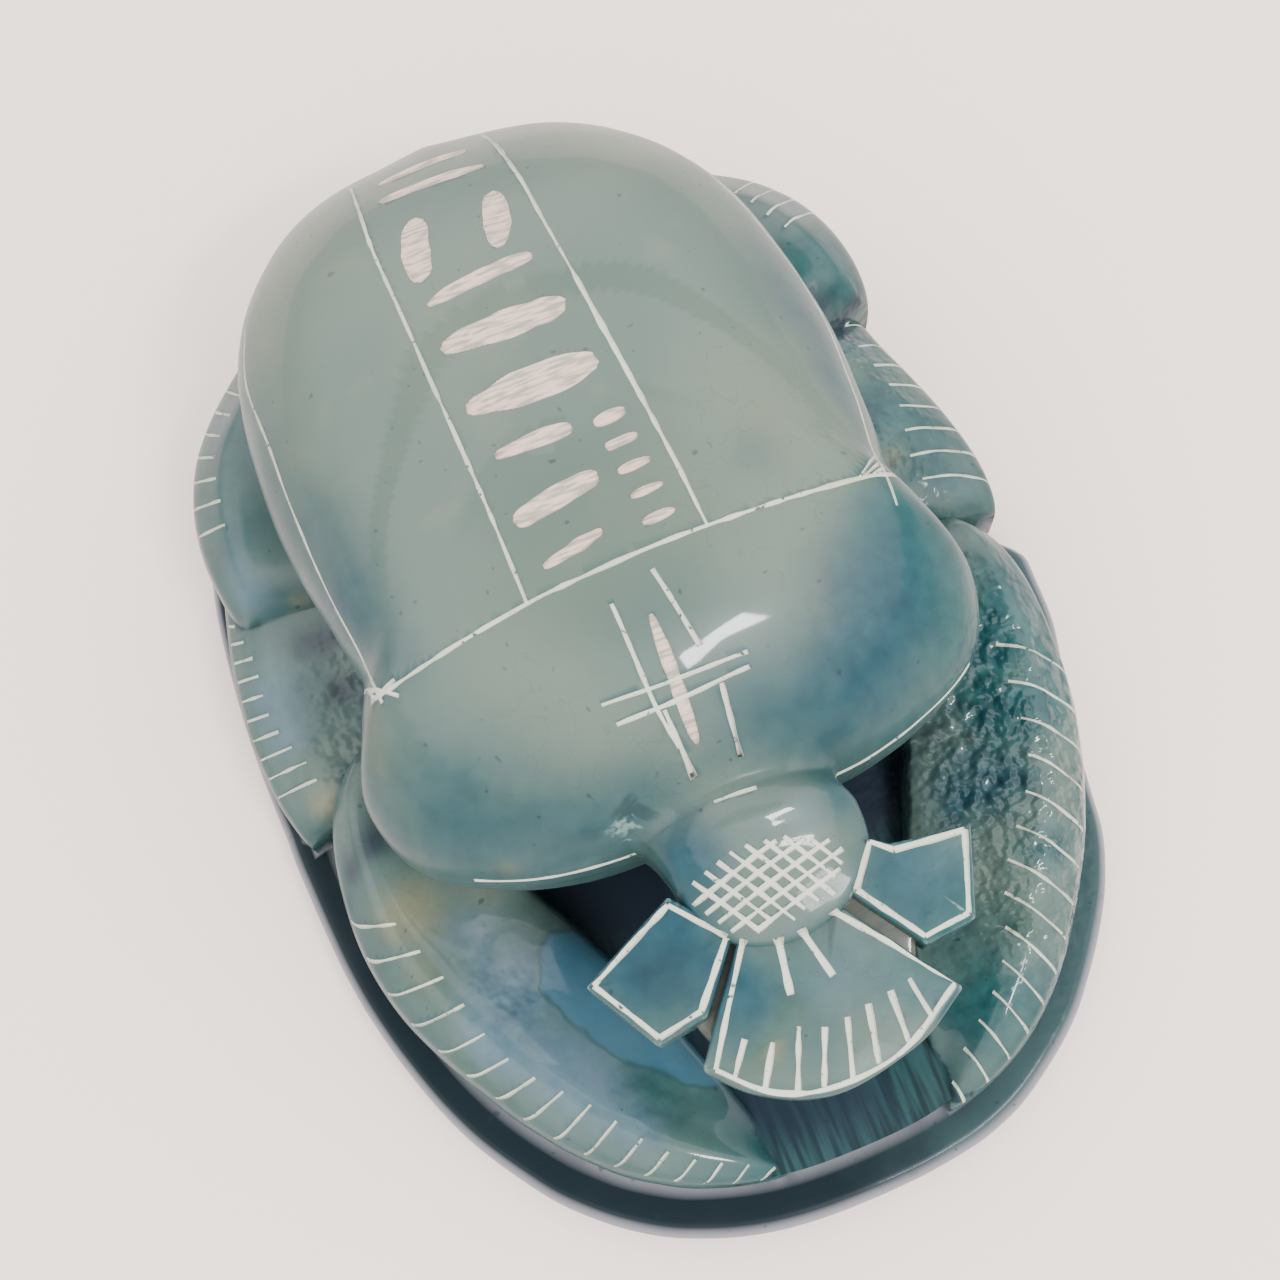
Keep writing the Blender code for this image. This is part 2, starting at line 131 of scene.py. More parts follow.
# %% Curves and easing
def along(points, share):
    """The smooth curve through the points, at a share from 0 to 1 of its way. Between two
    points b and c, with a before and d after, it is the cubic that leaves b along c - a and
    reaches c along d - b."""
    points = np.asarray(points, float)
    ends = np.vstack([2 * points[0] - points[1], points, 2 * points[-1] - points[-2]])
    place = np.asarray(share, float) * (len(points) - 1)
    start = np.clip(place.astype(int), 0, len(points) - 2)
    t = (place - start)[..., None]
    a, b, c, d = (ends[start + k] for k in range(4))
    return b + t / 2 * (c - a + t * (2 * a - 5 * b + 4 * c - d + t * (3 * (b - c) + d - a)))


def ease(value, low, high):
    """0 below low, 1 above high and 3t^2 - 2t^3 between."""
    share = np.clip((np.asarray(value, float) - low) / (high - low), 0, 1)
    return share * share * (3 - 2 * share)


def turn(count):
    """Even angles once round."""
    return np.arange(count) * (2 * pi / count)


def ring(x, y, z):
    """Points from their coordinates, whatever shapes those have."""
    return np.stack(np.broadcast_arrays(x, y, z), axis=-1)


# %% The unsteady hand
SCRAMBLE_WAY, SCRAMBLE_SEED, SCRAMBLE_SIZE = (12.9898, 78.233, 37.719), 3.7, 43758.5453


def chance(corner, seed):
    """A number from -1 to 1 for each lattice corner: the fraction of a large sine."""
    mixed = np.sin(corner @ SCRAMBLE_WAY + SCRAMBLE_SEED * seed) * SCRAMBLE_SIZE
    return 2 * (mixed - np.floor(mixed)) - 1


def lattice(points, cell, seed):
    """Smooth random heights from -1 to 1: the chances at the eight corners round each point,
    blended by the eased share of the way between them."""
    place = np.asarray(points, float) / cell
    corner = np.floor(place)
    share = place - corner
    share = share * share * (3 - 2 * share)
    total = 0.0
    for step in np.ndindex(2, 2, 2):
        weight = np.prod(np.where(step, share, 1 - share), axis=-1)
        total = total + weight * chance(corner + step, seed)
    return total


# Spacing of the lattice and the longest shift along each axis, broad and fine.
WANDER = [(9 * MM, 0.16 * MM), (2.6 * MM, 0.045 * MM)]
STEADY_BELOW = 2 * MM


def by_hand(points):
    """Each point shifted by its own smooth random step, which dies out at the flat underside
    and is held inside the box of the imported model."""
    points = np.asarray(points, float)
    moved = points.copy()
    for number, (cell, size) in enumerate(WANDER):
        shift = [lattice(points, cell, 10 * number + axis) for axis in range(3)]
        moved += size * np.stack(shift, axis=-1) * ease(points[..., 2:], 0, STEADY_BELOW)
    return np.clip(moved, CAD_BOX[0], CAD_BOX[1])


trial = ring(np.linspace(-20, 20, 400) * MM, 5 * MM, 15 * MM)
print("farthest shift by the hand, mm:", round(float(np.abs(by_hand(trial) - trial).max()) / MM, 2))

# %% A closed surface from a grid
GLAZED, LINE, STROKE = 0, 1, 2
forms = bpy.data.collections.new("forms")
cuts = bpy.data.collections.new("cuts")


def shell(name, grid, collection, finish=GLAZED):
    """A closed surface through a grid of points. Its columns run round, and each end row is
    closed by a fan to its own middle. Its faces carry the number of their finish."""
    rows, columns = grid.shape[:2]
    points = np.vstack([grid.reshape(-1, 3), grid[0].mean(axis=0), grid[-1].mean(axis=0)])
    index = np.arange(rows * columns).reshape(rows, columns)
    after = np.roll(index, -1, axis=1)
    quads = np.stack([index[:-1], after[:-1], after[1:], index[1:]], axis=-1).reshape(-1, 4)
    first, last = np.full(columns, rows * columns), np.full(columns, rows * columns + 1)
    fans = np.vstack([np.stack([after[0], index[0], first], axis=-1),
                      np.stack([index[-1], after[-1], last], axis=-1)])
    mesh = bpy.data.meshes.new(name)
    mesh.from_pydata(by_hand(points).tolist(), [], quads.tolist() + fans.tolist())
    mesh.polygons.foreach_set("material_index", np.full(len(mesh.polygons), finish))
    work = bmesh.new()
    work.from_mesh(mesh)
    bmesh.ops.recalc_face_normals(work, faces=work.faces)
    work.to_mesh(mesh)
    work.free()
    thing = bpy.data.objects.new(name, mesh)
    collection.objects.link(thing)
    return thing


# %% [markdown]
# ## The base
# The base is an oval slab with a rounded edge. A plain ellipse is too pointed for it, so the
# squares of the ellipse are replaced by a slightly higher power. The carver's middle line
# leans to the left behind the middle, and on the right the file ran over the rim in three
# places, which are shallow bays in the outline.

# %% The oval and its rim
BASE_THICKNESS, BASE_EDGE_ROUND = 3.1 * MM, 0.95 * MM
SUNK = BASE_THICKNESS / 2
SQUARENESS = 2.4
LEAN_FROM, LEAN_BASE, LEAN_BACK = -0.10, -0.065, -0.073
RIM_CUTS = [(-0.43, 0.22, 1.1 * MM), (-0.04, 0.08, 1.8 * MM), (0.38, 0.30, 0.9 * MM)]
RIM_INSETS = np.array([19.0, 12.0, 7.0, 4.0, 2.2, 1.4]) * MM
RIM_STEPS, RIM_ROUND_STEPS = 480, 6


def oval(angle, inset=0.0):
    """The oval pulled in by an inset, at an angle from the head end towards +X: the distance
    is one over the p-th root of |sin|^p + |cos|^p, stretched to the half width and length."""
    across, ahead = np.sin(angle), -np.cos(angle)
    reach = (np.abs(across) ** SQUARENESS + np.abs(ahead) ** SQUARENESS) ** (-1 / SQUARENESS)
    lean = LEAN_BASE * HALF_WIDTH * np.maximum(reach * ahead - LEAN_FROM, 0)
    x, y = (HALF_WIDTH - inset) * reach * across, (HALF_LENGTH - inset) * reach * ahead
    return x + lean * np.abs(across), y


def rim(angle):
    """The oval less the bays on the right, each a squared cosine of the way from its middle."""
    x, y = oval(angle)
    for place, spread, depth in RIM_CUTS:
        away = np.minimum(np.abs(y / HALF_LENGTH - place) / spread, 1)
        x = x - depth * np.cos(pi / 2 * away) ** 2 * (x > 0)
    return x, y


def base():
    """The slab: a profile from the middle of the underside out, round the lower and the upper
    edge in quarter circles, and back in over the top, carried along the rim."""
    quarter = np.linspace(0, pi / 2, RIM_ROUND_STEPS)
    inset, rise = BASE_EDGE_ROUND * (1 - np.sin(quarter)), BASE_EDGE_ROUND * (1 - np.cos(quarter))
    insets = np.concatenate([RIM_INSETS, inset, inset[::-1], RIM_INSETS[::-1]])
    heights = np.concatenate([0 * RIM_INSETS, rise, BASE_THICKNESS - rise[::-1],
                              np.full(len(RIM_INSETS), BASE_THICKNESS)])
    x, y = rim(turn(RIM_STEPS))
    shrunk = 1 - insets[:, None] / np.hypot(x, y)
    return shell("base", ring(x * shrunk, y * shrunk, heights[:, None]), forms)


slab = base()
print("base:", len(slab.data.polygons), "faces")

# %% [markdown]
# ## The floor between the legs
# Inside a narrow ledge the stone steps up, and the six legs and the hollow under the head
# stand on that step. At the front it rises to a lip, where the strokes of a coarse file were
# never smoothed away. They are real ridges here: a lattice whose corners lie half a millimetre
# apart across the stroke and nine millimetres along it.

# %% The floor and its file marks
LEDGE = 3.0 * MM
HOLLOW_FLOOR, FRONT_LIP = 4.4 * MM, 5.8 * MM
LIP_FROM, LIP_TO = 0.66, 0.90
FLOOR_STEPS, FLOOR_RINGS, FLOOR_INNERMOST = 420, 46, 0.03
FILE_SLANT, FILE_SEED = radians(-14), 40
FILE_CELL, FILE_DEPTH = np.array([0.5, 9.0, 9.0]) * MM, 0.07 * MM
FILED_FROM, FILED_TO = 0.45, 0.70


def file_marks(x, y):
    """Ridges from -1 to 1 that run along the file's stroke."""
    c, s = cos(FILE_SLANT), sin(FILE_SLANT)
    return lattice(ring(c * x + s * y, c * y - s * x, 0.0) / FILE_CELL, 1.0, FILE_SEED)


def floor_height(x, y):
    """The step's top: flat in the hollow, eased up to the lip, with the file marks on it."""
    rise = ease(-y / HALF_LENGTH, LIP_FROM, LIP_TO)
    marks = FILE_DEPTH * file_marks(x, y) * ease(-y / HALF_LENGTH, FILED_FROM, FILED_TO)
    return HOLLOW_FLOOR + (FRONT_LIP - HOLLOW_FLOOR) * rise + marks


def floor():
    """Rings of the oval inside the ledge, from its foot in the base to the middle."""
    x, y = oval(turn(FLOOR_STEPS), LEDGE)
    rings = [ring(x, y, SUNK), ring(x, y, 0.6 * SUNK + 0.4 * floor_height(x, y))]
    for share in np.linspace(1, FLOOR_INNERMOST, FLOOR_RINGS):
        rings.append(ring(share * x, share * y, floor_height(share * x, share * y)))
    return shell("floor", np.stack(rings), forms)


step = floor()
print("floor:", len(step.data.polygons), "faces")

# %% [markdown]
# ## The six legs
# Each leg lies along the oval, from a root behind to a tip ahead. It is described at a few
# stations on its way, by how far in it starts, how wide it is, and how high its outer edge,
# its crest and its inner edge stand. A smooth curve joins the stations. Across the leg, eight
# places say where the top turns, and averaging the path round them over a short window rounds
# its edges, as the polish did. The two sides were carved by eye and differ a little.

# %% A leg's surface
HIND_ROOT, MIDDLE_ROOT, FRONT_ROOT = 150, 122, 87
HIND_LEG = [(0.40, 0.29, 0.36, 0.37), (0.45, 0.32, 0.41, 0.42),
            (0.47, 0.35, 0.45, 0.43), (0.43, 0.36, 0.44, 0.40)]
MIDDLE_LEG = [(0.45, 0.22, 0.28, 0.33), (0.46, 0.24, 0.31, 0.34),
              (0.45, 0.25, 0.31, 0.34), (0.32, 0.24, 0.27, 0.29)]
FRONT_LEG = [(0.320, 0.36, 0.46, 0.44), (0.383, 0.32, 0.39, 0.32), (0.406, 0.29, 0.35, 0.25),
             (0.357, 0.27, 0.31, 0.23), (0.169, 0.23, 0.25, 0.21)]
# For each leg: side, angles of root and tip, insets in mm at its stations, stations, rows.
LEGS = {
    "hind_left": (-1, HIND_ROOT, 105, (2.9, 1.8, 0.7, 1.7), HIND_LEG, 80),
    "hind_right": (1, HIND_ROOT, 114, (3.7, 1.3, -0.1, 0.2), HIND_LEG, 80),
    "middle_left": (-1, MIDDLE_ROOT, 81.5, (2.6, 1.3, 0.7, 1.0), MIDDLE_LEG, 80),
    "middle_right": (1, MIDDLE_ROOT, 88, (1.5, 1.8, 1.1, 0.6), MIDDLE_LEG, 80),
    "front_left": (-1, FRONT_ROOT, 10, (3.8, 2.2, 2.8, 2.8, 2.5), FRONT_LEG, 156),
    "front_right": (1, FRONT_ROOT, 15, (2.2, 1.8, 2.0, 2.1, 2.0), FRONT_LEG, 156),
}
LEG_SECTION = (0.0, 0.0, 0.05, 0.28, 0.62, 0.97, 1.0, 1.0)
LEG_WALL, LEG_DIP = 0.82, 0.65
END_SHARPNESS, END_NARROWING, END_DROP = 7, 0.93, 0.45
CLOSES_AT_ROOT, CLOSES_AT_TIP = 0.50, 0.12
LEG_COLUMNS, LEG_EVENNESS = 44, 0.65
EDGE_WINDOW, WINDOW_PLACES = 0.22, 5


def leg_point(name, t, turning):
    """The leg's surface at share t of its length and at a place from 0 to 7 across it. The
    ends draw in by the root of 1 - n |2t - 1|^p, and the place across is averaged over a
    short window, which rounds the edges."""
    sign, root, tip, insets, stations, _ = LEGS[name]
    t, turning = np.broadcast_arrays(np.clip(t, 0, 1), turning)
    angle = np.radians(sign * (root + (tip - root) * t))
    width, edge, crest, inner, inset = np.moveaxis(along(np.column_stack([stations, insets]), t), -1, 0)
    fullness = np.sqrt(1 - END_NARROWING * np.abs(2 * t - 1) ** END_SHARPNESS)
    lift = 1 - END_DROP * (1 - fullness)
    closing = CLOSES_AT_ROOT + (CLOSES_AT_TIP - CLOSES_AT_ROOT) * t**2
    dip = crest + (inner - crest) * LEG_DIP
    heights = (0 * edge, LEG_WALL * edge, edge, crest, dip, inner, LEG_WALL * inner, 0 * inner)
    heights = np.stack(heights, axis=-1)
    share, top = 0.0, 0.0
    offsets = np.linspace(-EDGE_WINDOW, EDGE_WINDOW, WINDOW_PLACES)
    for place in (np.clip(turning + offset, 0, 7) for offset in offsets):
        low = np.minimum(place.astype(int), 6)
        rest = place - low
        sections = np.asarray(LEG_SECTION)
        share = share + (sections[low] * (1 - rest) + sections[low + 1] * rest) / len(offsets)
        below = np.take_along_axis(heights, low[..., None], -1)[..., 0]
        above = np.take_along_axis(heights, low[..., None] + 1, -1)[..., 0]
        top = top + (below * (1 - rest) + above * rest) / len(offsets)
    reach = (closing + (share - closing) * fullness) * width * HALF_WIDTH
    x, y = oval(angle, inset * MM + reach)
    return ring(x, y, SUNK + np.maximum(HEIGHT * top - SUNK, 0) * lift)


def leg(name):
    """A whole leg. Its rows crowd towards both ends, where it rounds off: their shares are
    part even steps and part half a turn of a cosine."""
    rows = LEGS[name][-1]
    crowded = 0.5 - 0.5 * np.cos(np.linspace(0, pi, rows))
    t = (1 - LEG_EVENNESS) * crowded + LEG_EVENNESS * np.linspace(0, 1, rows)
    return shell(name, leg_point(name, t[:, None], np.linspace(0, 7, LEG_COLUMNS)[None, :]), forms)


for name in LEGS:
    print(name + ":", len(leg(name).data.polygons), "faces")

# %% [markdown]
# ## The back
# Wing cases and shoulders are one loaf, with a waist where they meet. Seen from above it has
# a free outline, kept as thirteen points of one half and mirrored. Over it stands a crown:
# the height falls from the middle to the edge as a power of 1 - share^p, which is flat on
# top and steep at the side. Below the edge the stone is cut back under, most of all above
# the hollow in front.

# %% The back's outline and crown
BACK_OUTLINE = [
    (0.000, 0.838, 0.535), (0.314, 0.798, 0.540), (0.512, 0.690, 0.558),
    (0.632, 0.510, 0.593), (0.662, 0.263, 0.630), (0.632, 0.053, 0.650),
    (0.612, -0.045, 0.655), (0.660, -0.118, 0.615), (0.706, -0.212, 0.560),
    (0.640, -0.318, 0.530), (0.450, -0.388, 0.530), (0.226, -0.418, 0.560),
    (0.000, -0.410, 0.600),
]
BACK_CENTRE = 0.21 * HALF_LENGTH
BACK_SHOULDER, BACK_ROUNDNESS = 2.4, 0.53
CROWN_WAVES, CALM_POWER, CROWN_INNERMOST = 5, 2.0, 0.02
FOOT_IN, FOOT_IN_FRONT, FOOT_TOP = 0.12, 0.20, 0.34
WAIST_IN, WAIST_IN_FRONT, WAIST_DROP = 0.09, 0.13, 0.155
ROLL_REACH, ROLL_DROP, EDGE_DROP = 0.975, 0.10, 0.04
FRONT_FROM, FRONT_FULL = 0.72, 0.93
BACK_COLUMNS, CROWN_ROWS, SIDE_ROWS, OUTLINE_STEPS = 330, 60, 16, 400


def back_outline():
    """Bearing from the back's centre, distance and edge height, all round, in order."""
    half = along(BACK_OUTLINE, np.linspace(0, 1, OUTLINE_STEPS))
    both = np.vstack([half, half[-2:0:-1] * (-1, 1, 1)])
    both[:, 0] += LEAN_BACK * np.maximum(both[:, 1] - LEAN_FROM, 0)
    both *= (HALF_WIDTH, HALF_LENGTH, HEIGHT)
    x, y = both[:, 0], both[:, 1] - BACK_CENTRE
    bearing = np.arctan2(y, x) % (2 * pi)
    order = np.argsort(bearing)
    return bearing[order], np.hypot(x, y)[order], both[order, 2]


BEARINGS, REACHES, EDGES = back_outline()


def back_edge(bearing):
    """Distance of the back's edge from its centre, and its height, at a bearing."""
    reach = np.interp(bearing % (2 * pi), BEARINGS, REACHES, period=2 * pi)
    return reach, np.interp(bearing % (2 * pi), BEARINGS, EDGES, period=2 * pi)


EVEN_BEARINGS = turn(OUTLINE_STEPS)
WAVES = np.fft.rfft(back_edge(EVEN_BEARINGS)[0])
WAVES[CROWN_WAVES:] = 0
CALM_REACHES = np.fft.irfft(WAVES, OUTLINE_STEPS)


def crown(distance, bearing):
    """Height at a distance from the centre: edge + (top - edge)(1 - share^p)^q. At the edge the
    share is the distance over the edge's own. Towards the middle it is taken more and more
    over the outline's first few waves, so that no crease runs inwards from the waist."""
    reach, edge = back_edge(bearing)
    calm = np.interp(bearing % (2 * pi), EVEN_BEARINGS, CALM_REACHES, period=2 * pi)
    share = np.minimum(distance / reach, 1)
    share = share * (share**CALM_POWER + (1 - share**CALM_POWER) * reach / calm)
    return edge + (HEIGHT - edge) * np.maximum(1 - share**BACK_SHOULDER, 0) ** BACK_ROUNDNESS


def back_top(x, y):
    """The point of the crown over a place in plan."""
    distance = np.hypot(x, y - BACK_CENTRE)
    return ring(x, y, crown(distance, np.arctan2(y - BACK_CENTRE, x)))


def back_point(bearing, down):
    """The loaf's surface at a bearing, from 0 at the crown's middle over 1 at its edge to 2 at
    its foot. Above the edge the share is 1 - (1 - down)^2, which crowds the rows where the
    crown is steep, and below it a smooth curve runs through edge, roll, waist and foot."""
    bearing, down = np.broadcast_arrays(bearing, down)
    reach, edge = back_edge(bearing)
    ahead = ease(-np.sin(bearing), FRONT_FROM, FRONT_FULL)
    waist = reach - WAIST_IN * HALF_WIDTH - ahead * WAIST_IN_FRONT * HALF_LENGTH
    foot = reach - FOOT_IN * HALF_WIDTH - ahead * FOOT_IN_FRONT * HALF_LENGTH
    distances = [reach, reach, reach * ROLL_REACH, waist, foot, foot]
    heights = [edge, edge - EDGE_DROP * HEIGHT, edge - ROLL_DROP * HEIGHT,
               edge - WAIST_DROP * HEIGHT, FOOT_TOP * HEIGHT + 0 * edge, SUNK + 0 * edge]
    knots = np.stack([distances, heights], axis=-1)
    under = np.clip(down - 1, 0, 1) * (len(knots) - 1)
    low = np.minimum(under.astype(int), len(knots) - 2)
    rest = (under - low)[..., None]
    picked = []
    for k in (-1, 0, 1, 2):
        index = np.clip(low + k, 0, len(knots) - 1)[None, ..., None]
        picked.append(np.take_along_axis(knots, np.broadcast_to(index, (1,) + low.shape + (2,)), 0)[0])
    a, b, c, d = picked
    side = b + rest / 2 * (c - a + rest * (2 * a - 5 * b + 4 * c - d + rest * (3 * (b - c) + d - a)))
    over = reach * (1 - (1 - np.minimum(down, 1)) ** 2)
    distance = np.where(down <= 1, over, side[..., 0])
    height = np.where(down <= 1, crown(over, bearing), side[..., 1])
    return ring(distance * np.cos(bearing), BACK_CENTRE + distance * np.sin(bearing), height)


def back():
    """The whole loaf from its foot to its crown."""
    down = np.concatenate([np.linspace(2, 1, SIDE_ROWS), np.linspace(1, CROWN_INNERMOST, CROWN_ROWS)[1:]])
    return shell("back", back_point(turn(BACK_COLUMNS)[None, :], down[:, None]), forms)


print("back:", len(back().data.polygons), "faces")

# %% [markdown]
# ## The plates of the head
# In front of the skull lie two side plates and the toothed fan that a real scarab digs with.
# They are flat slabs on one slope that falls towards the front, with a lower web between
# them, so that grooves part them. Each slab is its outline carried round: from the middle of
# the underside out, round both edges, and in over the top.

# %% The plates
HEAD_REAR, HEAD_FRONT = (-0.500, 0.700), (-0.830, 0.585)
HEAD_THICKNESS, HEAD_GROOVE, PLATE_ROUND = 3.0 * MM, 1.1 * MM, 0.3 * MM
# Corners in plan, in mm. The fan's front is a smooth curve through its last five.
PLATE_LEFT = [(-4.8, -19.2), (-2.3, -22.1), (-5.2, -25.6), (-8.2, -26.0), (-10.6, -21.9)]
PLATE_RIGHT = [(6.1, -20.0), (4.3, -22.4), (7.2, -26.4), (10.2, -26.0), (11.8, -21.5), (7.3, -20.8)]
FAN_ROOT = [(3.1, -22.2), (-2.0, -22.2)]
FAN_FRONT = [(-6.5, -28.0), (-4.0, -30.3), (0.0, -31.7), (4.9, -30.9), (8.2, -29.1)]
HEAD_WEB = [(-3.4, -19.4), (-7.2, -22.4), (-5.2, -27.4), (-2.9, -29.3), (4.0, -29.3),
            (6.2, -27.4), (8.2, -22.6), (5.6, -20.6)]
FAN_STEPS, PLATE_STEPS, PLATE_CORNER, QUARTER_STEPS = 41, 200, 1, 6
PLATE_INWARD = (0.88, 0.66, 0.42, 0.2, 0.06)


def plate_top(x, y):
    """The head's slope: straight down from the rear of the head to its front."""
    (rear, high), (front, low) = HEAD_REAR, HEAD_FRONT
    share = (rear * HALF_LENGTH - y) / ((rear - front) * HALF_LENGTH)
    return ring(x, y, HEIGHT * (high + (low - high) * share))


def even_outline(corners):
    """Even steps round straight sides between the corners. Each is then averaged with its
    neighbours, which rounds the corners."""
    looped = np.vstack([corners, corners[:1]]) * MM
    way = np.concatenate([[0], np.cumsum(np.hypot(*np.diff(looped, axis=0).T))])
    places = np.arange(PLATE_STEPS) / PLATE_STEPS * way[-1]
    line = np.stack([np.interp(places, way, looped[:, k]) for k in (0, 1)], axis=-1)
    shifts = range(-PLATE_CORNER, PLATE_CORNER + 1)
    return sum(np.roll(line, shift, axis=0) for shift in shifts) / len(shifts)


def inset_outline(line, inset):
    """The closed outline moved square to itself, towards its own middle."""
    ahead = np.roll(line, -1, axis=0) - np.roll(line, 1, axis=0)
    side = np.stack([-ahead[:, 1], ahead[:, 0]], axis=-1) / np.hypot(*ahead.T)[:, None]
    inwards = np.sign(np.sum(side * (line.mean(axis=0) - line)))
    return line + side * inwards * inset


def plate(name, corners, lowered=0.0):
    """A slab under the head's slope with quarter circles for its edges. Its rows are outlines
    and how far they lie under the slope."""
    line = even_outline(corners)
    middle = line.mean(axis=0)
    quarter = np.linspace(0, pi / 2, QUARTER_STEPS)
    inner = inset_outline(line, PLATE_ROUND)
    profile = [(middle + (inner - middle) * share, HEAD_THICKNESS) for share in PLATE_INWARD[::-1]]
    edges = [(inset_outline(line, PLATE_ROUND * (1 - sin(angle))), PLATE_ROUND * (1 - cos(angle)))
             for angle in quarter]
    profile += [(outline, HEAD_THICKNESS - rise) for outline, rise in edges]
    profile += edges[::-1]
    profile += [(middle + (inner - middle) * share, 0.0) for share in PLATE_INWARD]
    rows = [plate_top(*outline.T) - (0, 0, lowered + under) for outline, under in profile]
    return shell(name, np.stack(rows), forms)


fan_front = along(FAN_FRONT, np.linspace(0, 1, FAN_STEPS))
plates = [plate("plate_left", PLATE_LEFT), plate("plate_right", PLATE_RIGHT)]
plates += [plate("fan", np.vstack([FAN_ROOT, fan_front]))]
plates += [plate("web", HEAD_WEB, lowered=HEAD_GROOVE)]
print("plates:", sum(len(thing.data.polygons) for thing in plates), "faces")

# %% [markdown]
# ## Skull and neck
# The skull is a low dome, the neck behind it a saddle, and both melt into the shoulders
# without an edge. A form like that is easiest as a height over its plan: a ridge from back
# to front that falls to both sides. Where it comes near the height of the shoulders the two
# are blended with a fillet, so nothing shows where one ends.

# %% Skull and neck in one cap
# Plan of the skull and of the neck that runs back into the shoulders, in mm, all round.
CAP_OUTLINE = [(0.9, -23.7), (4.0, -22.9), (6.2, -20.7), (6.6, -18.2), (6.1, -16.4), (7.4, -14.8),
               (8.0, -11.5), (0.5, -9.5), (-7.0, -11.5), (-6.6, -14.7), (-5.1, -16.3), (-4.4, -18.2),
               (-4.0, -20.7), (-2.1, -22.9)]
CAP_MIDDLE = (0.9, -17.6)
# From back to front every millimetre: height of the ridge, and how far it falls to its sides, in mm.
CAP_BACK, CAP_STEP = -12.0, 1.0
CAP_RIDGE = [(21.8, 4.0), (21.5, 3.9), (21.2, 3.7), (21.15, 3.3), (21.55, 2.9), (21.75, 2.5), (21.4, 2.1),
             (20.9, 1.7), (20.5, 1.35), (20.15, 1.05), (19.75, 0.8), (19.3, 0.55), (18.7, 0.4)]
CAP_HALF, CAP_FULLNESS, CAP_BEYOND = 5.5 * MM, 0.62, 5.0
CAP_BLEND, CAP_SINK, CAP_ROUND, CAP_FOOT = 2.6 * MM, 0.02 * MM, 0.35 * MM, 14.8 * MM
CAP_STEPS, CAP_ROWS, CAP_INNERMOST = 200, 34, 0.02
# How far right of the middle the ridge lies, on the skull and behind it.
RIDGE_SKULL, RIDGE_NECK, RIDGE_TURNS = 1.2 * MM, 0.4 * MM, (-18 * MM, -15 * MM)


def cap_top(x, y):
    """The head from above: a ridge that falls to its sides as 1 - (1 - s^2)^q, melted into
    the crown of the shoulders. Where two heights differ by less than b, their higher one is
    raised by (b - difference)^2 / 4b, which is a fillet."""
    back = (CAP_BACK * MM - y) / (CAP_STEP * MM * (len(CAP_RIDGE) - 1))
    ridge, fall = np.moveaxis(along(CAP_RIDGE, np.clip(back, 0, 1)), -1, 0) * MM
    middle = RIDGE_SKULL + (RIDGE_NECK - RIDGE_SKULL) * ease(y, *RIDGE_TURNS)
    across = np.abs(x - middle) / CAP_HALF
    fallen = 1 - (1 - np.minimum(across, 1) ** 2) ** CAP_FULLNESS
    head = ridge - fall * (fallen + CAP_BEYOND * np.maximum(across - 1, 0))
    behind = back_top(x, y)[..., 2]
    room = np.maximum(CAP_BLEND - np.abs(head - behind), 0)
    return ring(x, y, np.maximum(head, behind) + room**2 / (4 * CAP_BLEND) - CAP_SINK)


def cap():
    """The outline's wall up from the foot, a small rounded edge, and rows in to the middle."""
    looped = np.vstack([CAP_OUTLINE[-2:], CAP_OUTLINE, CAP_OUTLINE[:3]]) * MM
    shares = (2 + np.arange(CAP_STEPS) * len(CAP_OUTLINE) / CAP_STEPS) / (len(looped) - 1)
    line, middle = along(looped, shares), np.array(CAP_MIDDLE) * MM
    rows = [ring(line[:, 0], line[:, 1], CAP_FOOT)]
    for angle in np.linspace(0, pi / 2, QUARTER_STEPS):
        edge = inset_outline(line, CAP_ROUND * (1 - cos(angle)))
        rows.append(cap_top(*edge.T) - (0, 0, CAP_ROUND * (1 - sin(angle))))
    for share in np.linspace(1, CAP_INNERMOST, CAP_ROWS)[1:]:
        rows.append(cap_top(*(middle + (edge - middle) * share).T))
    return shell("cap", np.stack(rows), forms)


print("skull and neck:", len(cap().data.polygons), "faces")

# %% [markdown]
# ## One stone
# Nothing here was ever a separate piece, so all the forms are joined into one closed mesh.
# The manifold solver does that quickly on closed meshes, and it keeps each face's number.

# %% Joining the forms
def boolean(thing, collection, operation):
    """The thing's mesh after a Boolean with everything in the collection, which is then
    emptied."""
    modifier = thing.modifiers.new(operation, "BOOLEAN")
    modifier.operand_type = "COLLECTION"
    modifier.collection = collection
    modifier.operation = operation
    modifier.solver = "MANIFOLD"
    seen = thing.evaluated_get(bpy.context.evaluated_depsgraph_get())
    mesh = bpy.data.meshes.new_from_object(seen)
    thing.modifiers.remove(modifier)
    thing.data = mesh
    for helper in list(collection.objects):
        bpy.data.objects.remove(helper, do_unlink=True)


for collection in (forms, cuts):
    bpy.context.scene.collection.children.link(collection)
stone = slab
forms.objects.unlink(stone)
bpy.context.scene.collection.objects.link(stone)
stone.name = "scarab_stone"
boolean(stone, forms, "UNION")
print("joined stone:", len(stone.data.polygons), "faces")

# %% [markdown]
# ## Lines scratched through the colour
# Every line on the amulet is a shallow cut with a steel point. On the real stone the cut
# goes through the stain into white stone, so the lines are shape and colour at once, and
# they are made as both here: a thin cutter follows the surface, the Boolean takes it away,
# and the walls that it leaves keep the cutter's number, which the finish turns white.
# The cutter is a section of four points that is carried along a path. The path is given in
# the surface's own two parameters, so one function serves the back, the legs and the head.

